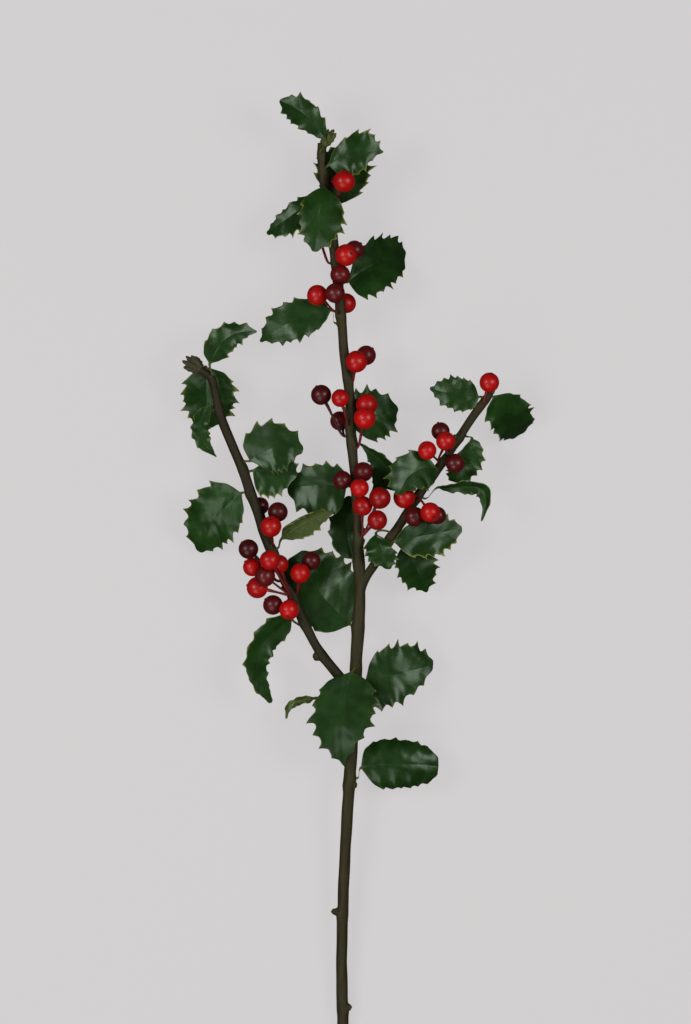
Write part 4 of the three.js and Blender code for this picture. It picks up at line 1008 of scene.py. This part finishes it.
# Each bunch: its name, the wood, the height and side of its root, its colour, and x, y, z and
# radius of every berry in mm, then how ripe it is where that is not left to chance.
BUNCHES = [
    ("top_red", MAIN, 194.5, 20, "red", [(-5.2, 205.4, 38.5, 5.4)]),
    ("top_dark", MAIN, 199, -30, "dark", [(-10.9, 206.5, 22.5, 3.4)]),
    ("upper_red", MAIN, 168, 64, "red", [(-4.2, 169, 37.5, 5.4)]),
    ("upper_dark", MAIN, 165, 20, "dark", [
        (-0.2, 172, 28.4, 4.7, 0.75), (-7.2, 159.4, 34.5, 4.9, 0.95)]),
    ("under_red", MAIN, 166, 180, "red", [(-19, 181, 23, 4.6)]),
    ("fork_red", MAIN, 142.5, 205, "red", [(-18.5, 150, 31, 5.1), (-4.3, 146.7, 18, 4.9)]),
    ("fork_dark", MAIN, 141, 110, "dark", [(-9.7, 150.4, 38, 4.9, 0.8)]),
    ("mid_dark", MAIN, 113, 0, "dark", [(5.6, 120.4, 25.5, 4.9)]),
    ("mid_red", MAIN, 107, 45, "red", [(0.7, 117, 35, 5.4)]),
    ("waist_dark", MAIN, 80.5, 185, "dark", [(-16.6, 100.8, 28, 5, 0.4), (-7.4, 88.2, 18, 4.8)]),
    ("waist_red_left", MAIN, 86, 110, "red", [(-7.2, 99, 34, 4.4)]),
    ("waist_red_right", MAIN, 74.5, 30, "red", [(6.1, 96.1, 29, 5.4), (5.1, 89.2, 37.5, 5.4)]),
    ("crown_dark", MAIN, 53, 80, "dark", [(4.1, 62.7, 33, 4.9), (-6.2, 58.7, 32, 4.6)]),
    ("crown_red", MAIN, 31, 60, "red", [
        (2.1, 54.8, 39, 4.6), (3.6, 46, 35, 4.9, 0.5), (12, 49.9, 39, 5.4, 0.32),
        (10.8, 39, 34, 4.9, 0.38)]),
    ("right_low_red", RIGHT, 51, 90, "red", [(24.3, 50.4, 31.5, 5.4), (36.9, 43, 40, 4.9)]),
    ("right_low_dark", RIGHT, 42, 20, "dark", [(29.3, 40.5, 34.5, 4.9), (40.6, 41, 31, 4.4)]),
    ("right_mid_red", RIGHT, 67, 140, "red", [(35.6, 73.3, 37.5, 4.6), (44.7, 77.9, 36, 4.7)]),
    ("right_mid_dark", RIGHT, 71, 95, "dark", [(42.3, 82.9, 26, 4.5), (49.4, 67.1, 29, 4.7)]),
    ("tip_red", RIGHT, 96.5, 80, "red", [(66.2, 106.8, 30, 4.9)]),
    ("left_dark", LEFT, 35, -25, "dark", [(-37.8, 43, 30, 4.9, 0.45), (-46.8, 46, 15.5, 4.4, 0.5)]),
    ("left_red", LEFT, 26, 55, "red", [(-41.2, 36, 36, 5.2)]),
    ("branch_dark", LEFT, 10, 160, "dark", [
        (-52.6, 24.7, 30, 4.9, 0.3), (-44.4, 11.4, 33.5, 5.1, 0.95)]),
    ("branch_red", LEFT, 2, 100, "red", [
        (-50.6, 15.8, 24.5, 4.6), (-41.7, 19.3, 39.5, 4.9), (-37.3, 17.3, 30.7, 4.6),
        (-48.1, 5.6, 25, 5.3), (-32.3, -5.2, 33, 4.9)]),
    ("low_red", LEFT, 1.5, 40, "red", [(-26.9, 12.9, 31, 4.9)]),
    ("low_dark", LEFT, 3, 0, "dark", [(-21.5, 18.9, 26, 4.6)]),
    ("foot_dark", LEFT, -11, 165, "dark", [(-40.5, -2.8, 27, 4.9, 0.6)]),
]
STALK_ROOT_RADIUS = 0.55
STALK_RADIUS = 0.6
STALK_UNEVEN = 0.12
STALK_STEPS = 16
STALK_LEAVES = 0.14      # how far a stalk keeps its root's direction, as a part of its length
STALK_ENTERS = 0.3       # how far it runs straight at its berry, the same way
STALK_FLARE = 0.9        # where a stalk begins to widen, before its berry
NECK_RADIUS = 0.855      # the stalk where it is sunk into its berry
NECK_ENDS = 0.3          # how far round the berry that reaches, radians
BERRY_SEED = 500
BERRY_AROUND = 36
# Degrees from the stalk, round a berry.
BERRY_STATIONS = [6, 9, 13, 18, *np.linspace(24, 168, 34), 171, 173.5, 175.5, 177.5]
STALK_DENT = 0.035       # how deep the berry is dented round its stalk, and at its star
STAR_DENT = 0.03
STAR_RADIUS = 0.6
STAR_STEPS = (12, 8)     # out along its under face, and back in along its upper one
STAR_DRY = (0.050, 0.016, 0.009)
STAR_RING = (0.045, 0.008, 0.005)


def berry_skin(number, root, berry):
    """A berry and its stalk about one path: the stalk bends from its root towards the fruit
    and widens into it, the fruit is a sphere a little dented at both ends, and a small
    star with four lobes stands in the far dent."""
    rng = np.random.default_rng(BERRY_SEED + number)
    inner, mouth, out = root
    centre, radius = np.array(berry[:3], float), berry[3]
    aim = unit(centre - mouth)
    near = centre - aim * (radius + STALK_FLARE)
    gap = np.linalg.norm(near - mouth)
    _, path = bent(mouth, mouth + out * gap * STALK_LEAVES, near - aim * gap * STALK_ENTERS,
                   near, STALK_STEPS)
    path = np.concatenate([inner[None], path])
    ahead = unit(np.gradient(path, axis=0))
    waver = np.sin(np.linspace(0, 5, len(path)) + rng.uniform(0, 6))
    width = STALK_RADIUS * (1 + STALK_UNEVEN * waver)
    width[:2] = STALK_ROOT_RADIUS
    width[-5:] = np.maximum(width[-5:], STALK_RADIUS * (1 + 0.10 * np.arange(5)))

    angle = np.radians(BERRY_STATIONS)
    dent = (1 - STALK_DENT * np.exp(-(angle / 0.28) ** 2)
            - STAR_DENT * np.exp(-((np.pi - angle) / 0.25) ** 2))
    ball = centre - aim * (radius * dent * np.cos(angle))[:, None]
    ball_width = np.maximum(radius * np.sin(angle), NECK_RADIUS * (angle < NECK_ENDS))
    path = np.concatenate([path, ball])
    width = np.concatenate([width, ball_width])
    ahead = np.concatenate([ahead, np.broadcast_to(aim, ball.shape)])

    upright = abs(out[2]) >= 0.995
    first = np.array([1.0, 0, 0]) if upright else unit(np.cross([0.0, 0.0, 1.0], out))
    first = unit(first - ahead * np.sum(first * ahead, axis=1, keepdims=True))
    second = np.cross(ahead, first)
    turn = turns(BERRY_AROUND)
    stalk = np.zeros(len(path) - len(ball))
    fruit = np.concatenate([stalk, np.ones(len(ball))])[:, None]
    pole = np.concatenate([stalk, angle / np.pi])[:, None]
    lumps = fruit * (0.010 * np.sin(2 * turn + rng.uniform(0, 6))
                     + 0.008 * np.sin(3 * turn + rng.uniform(0, 6)))
    girth = width[:, None] * (1 + lumps)
    rings = path[:, None] + spokes(first[:, None], second[:, None], turn) * girth[..., None]
    ripeness = berry[4] if len(berry) > 4 else rng.uniform(0.55, 0.85)

    t = np.concatenate([np.linspace(0.05, 1, STAR_STEPS[0]), np.linspace(1, 0.05, STAR_STEPS[1])])
    lobes = 0.62 + 0.38 * np.abs(np.cos(2 * turn)) ** 1.5
    lift = np.where(np.arange(len(t)) < STAR_STEPS[0], -0.25, 0.12 + 0.22 * t ** 2)
    t = t[:, None]
    star = ((centre + aim * (radius * 0.985 + lift)[:, None])[:, None]
            + spokes(first[-1], second[-1], turn)
            * (STAR_RADIUS * t * (1 - (1 - lobes) * t ** 1.5))[..., None])
    return [skin(rings, fruit=triple(fruit, pole, ripeness + 0 * turn)),
            skin(star, fruit=triple(2.0, 1.0, 0.5 + 0 * t * turn))]


def berry_finish(name, ripe, deep, light, stem_colour):
    """The glossy skin of a berry: ripe and deep shades in soft clouds, paler towards its
    stalk, fine pale dots, and a dark dry star at the far end."""
    fruit = Finish(name, Specular_IOR_Level=0.36, Coat_Weight=0.20, Coat_Roughness=0.27)
    part, pole, shade = fruit.mark("fruit")
    body = fruit.node("ShaderNodeTexCoord", {}, "Object")
    cloud, cells = fruit.noise(body, 160.0), fruit.cells(body, 900.0)
    stalk, star = 1 - part.step(0.2, 0.8), part.step(1.2, 1.8)
    ring = pole.step(0.925, 0.95) * (1 - part.step(1.1, 1.6))
    colour = fruit.coats(
        deep, (shade + (cloud - 0.5) * 0.5, ripe),
        ((1 - pole.step(0.05, 0.35)) * shade * 0.35, light),
        ((1 - cells.step(0.05, 0.16)) * 0.10, light), (ring * 0.3, STAR_RING),
        (stalk, stem_colour), (star, STAR_DRY))
    return fruit.done(
        height=cells.step(0.0, 0.2), distance=0.02 * MM, Base_Color=colour,
        Roughness=0.34 + cloud * 0.06 + stalk * 0.25 + star * 0.5)


berry_materials = {
    "red": berry_finish(
        "berry_red", ripe=(0.70, 0.0045, 0.0035), deep=(0.13, 0.0015, 0.0020),
        light=(0.80, 0.030, 0.015), stem_colour=(0.16, 0.010, 0.008)),
    "dark": berry_finish(
        "berry_dark", ripe=(0.150, 0.0055, 0.0060), deep=(0.024, 0.0022, 0.0026),
        light=(0.22, 0.0120, 0.0130), stem_colour=(0.05, 0.008, 0.007)),
}
berries_before = 0
for name, wood, y, side, colour, berries in BUNCHES:
    skins = [
        piece for number, berry in enumerate(berries, berries_before)
        for piece in berry_skin(number, root_at(wood, y, side), berry)]
    berries_before += len(berries)
    bunch = build("fruit_berries_" + name, skins, berry_materials[colour], "berries_" + name)
    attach(bunch, "root")
    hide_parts("berries_" + name)

# ---- Leaf cushions ---------------------------------------
# A low ring of bark stands round the foot of every leaf stalk and berry stalk, where the
# wood has grown up about it.

# The radius of a cushion, in mm, about the stalk of a leaf and of a bunch.
CUSHION_RADII = ((1.0, LEAVES), (0.85, BUNCHES))
CUSHION_GRID = (12, 24)
CUSHION_START = 0.5      # how far out from a root's inner end a cushion starts
CUSHION_ABOVE = 0.5      # how far out from the bark it ends
CUSHION_SPREAD = 0.75    # how much wider it is at its foot


def cushion_skin(radius, wood, y, side):
    """A low ring about the root's direction: it leaves the bark in a hollow curve and rounds
    over against the stalk."""
    inner, _, out = root_at(wood, y, side)
    share, turn = grid(*CUSHION_GRID)
    reach = np.linspace(CUSHION_START, ROOT_DEPTH + CUSHION_ABOVE, len(share))[:, None]
    width = (radius * (1.0 + CUSHION_SPREAD * (1 - share) ** 2)
             * np.sqrt(np.clip(1.02 - share ** 6, 0, 1)))
    rings = (inner + out * reach)[:, None] + spokes(*square_to(out), turn) * width[..., None]
    return skin(
        rings, kind=triple(0.5 + 0 * turn, 0.5 + 0.5 * share, 0),
        grain=grained(width, turn, reach + y))


cushions = build("leaf_cushions", [
    cushion_skin(radius, *row[1:4]) for radius, rows in CUSHION_RADII for row in rows
], bark_material)
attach(cushions, "root")
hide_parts("stem")
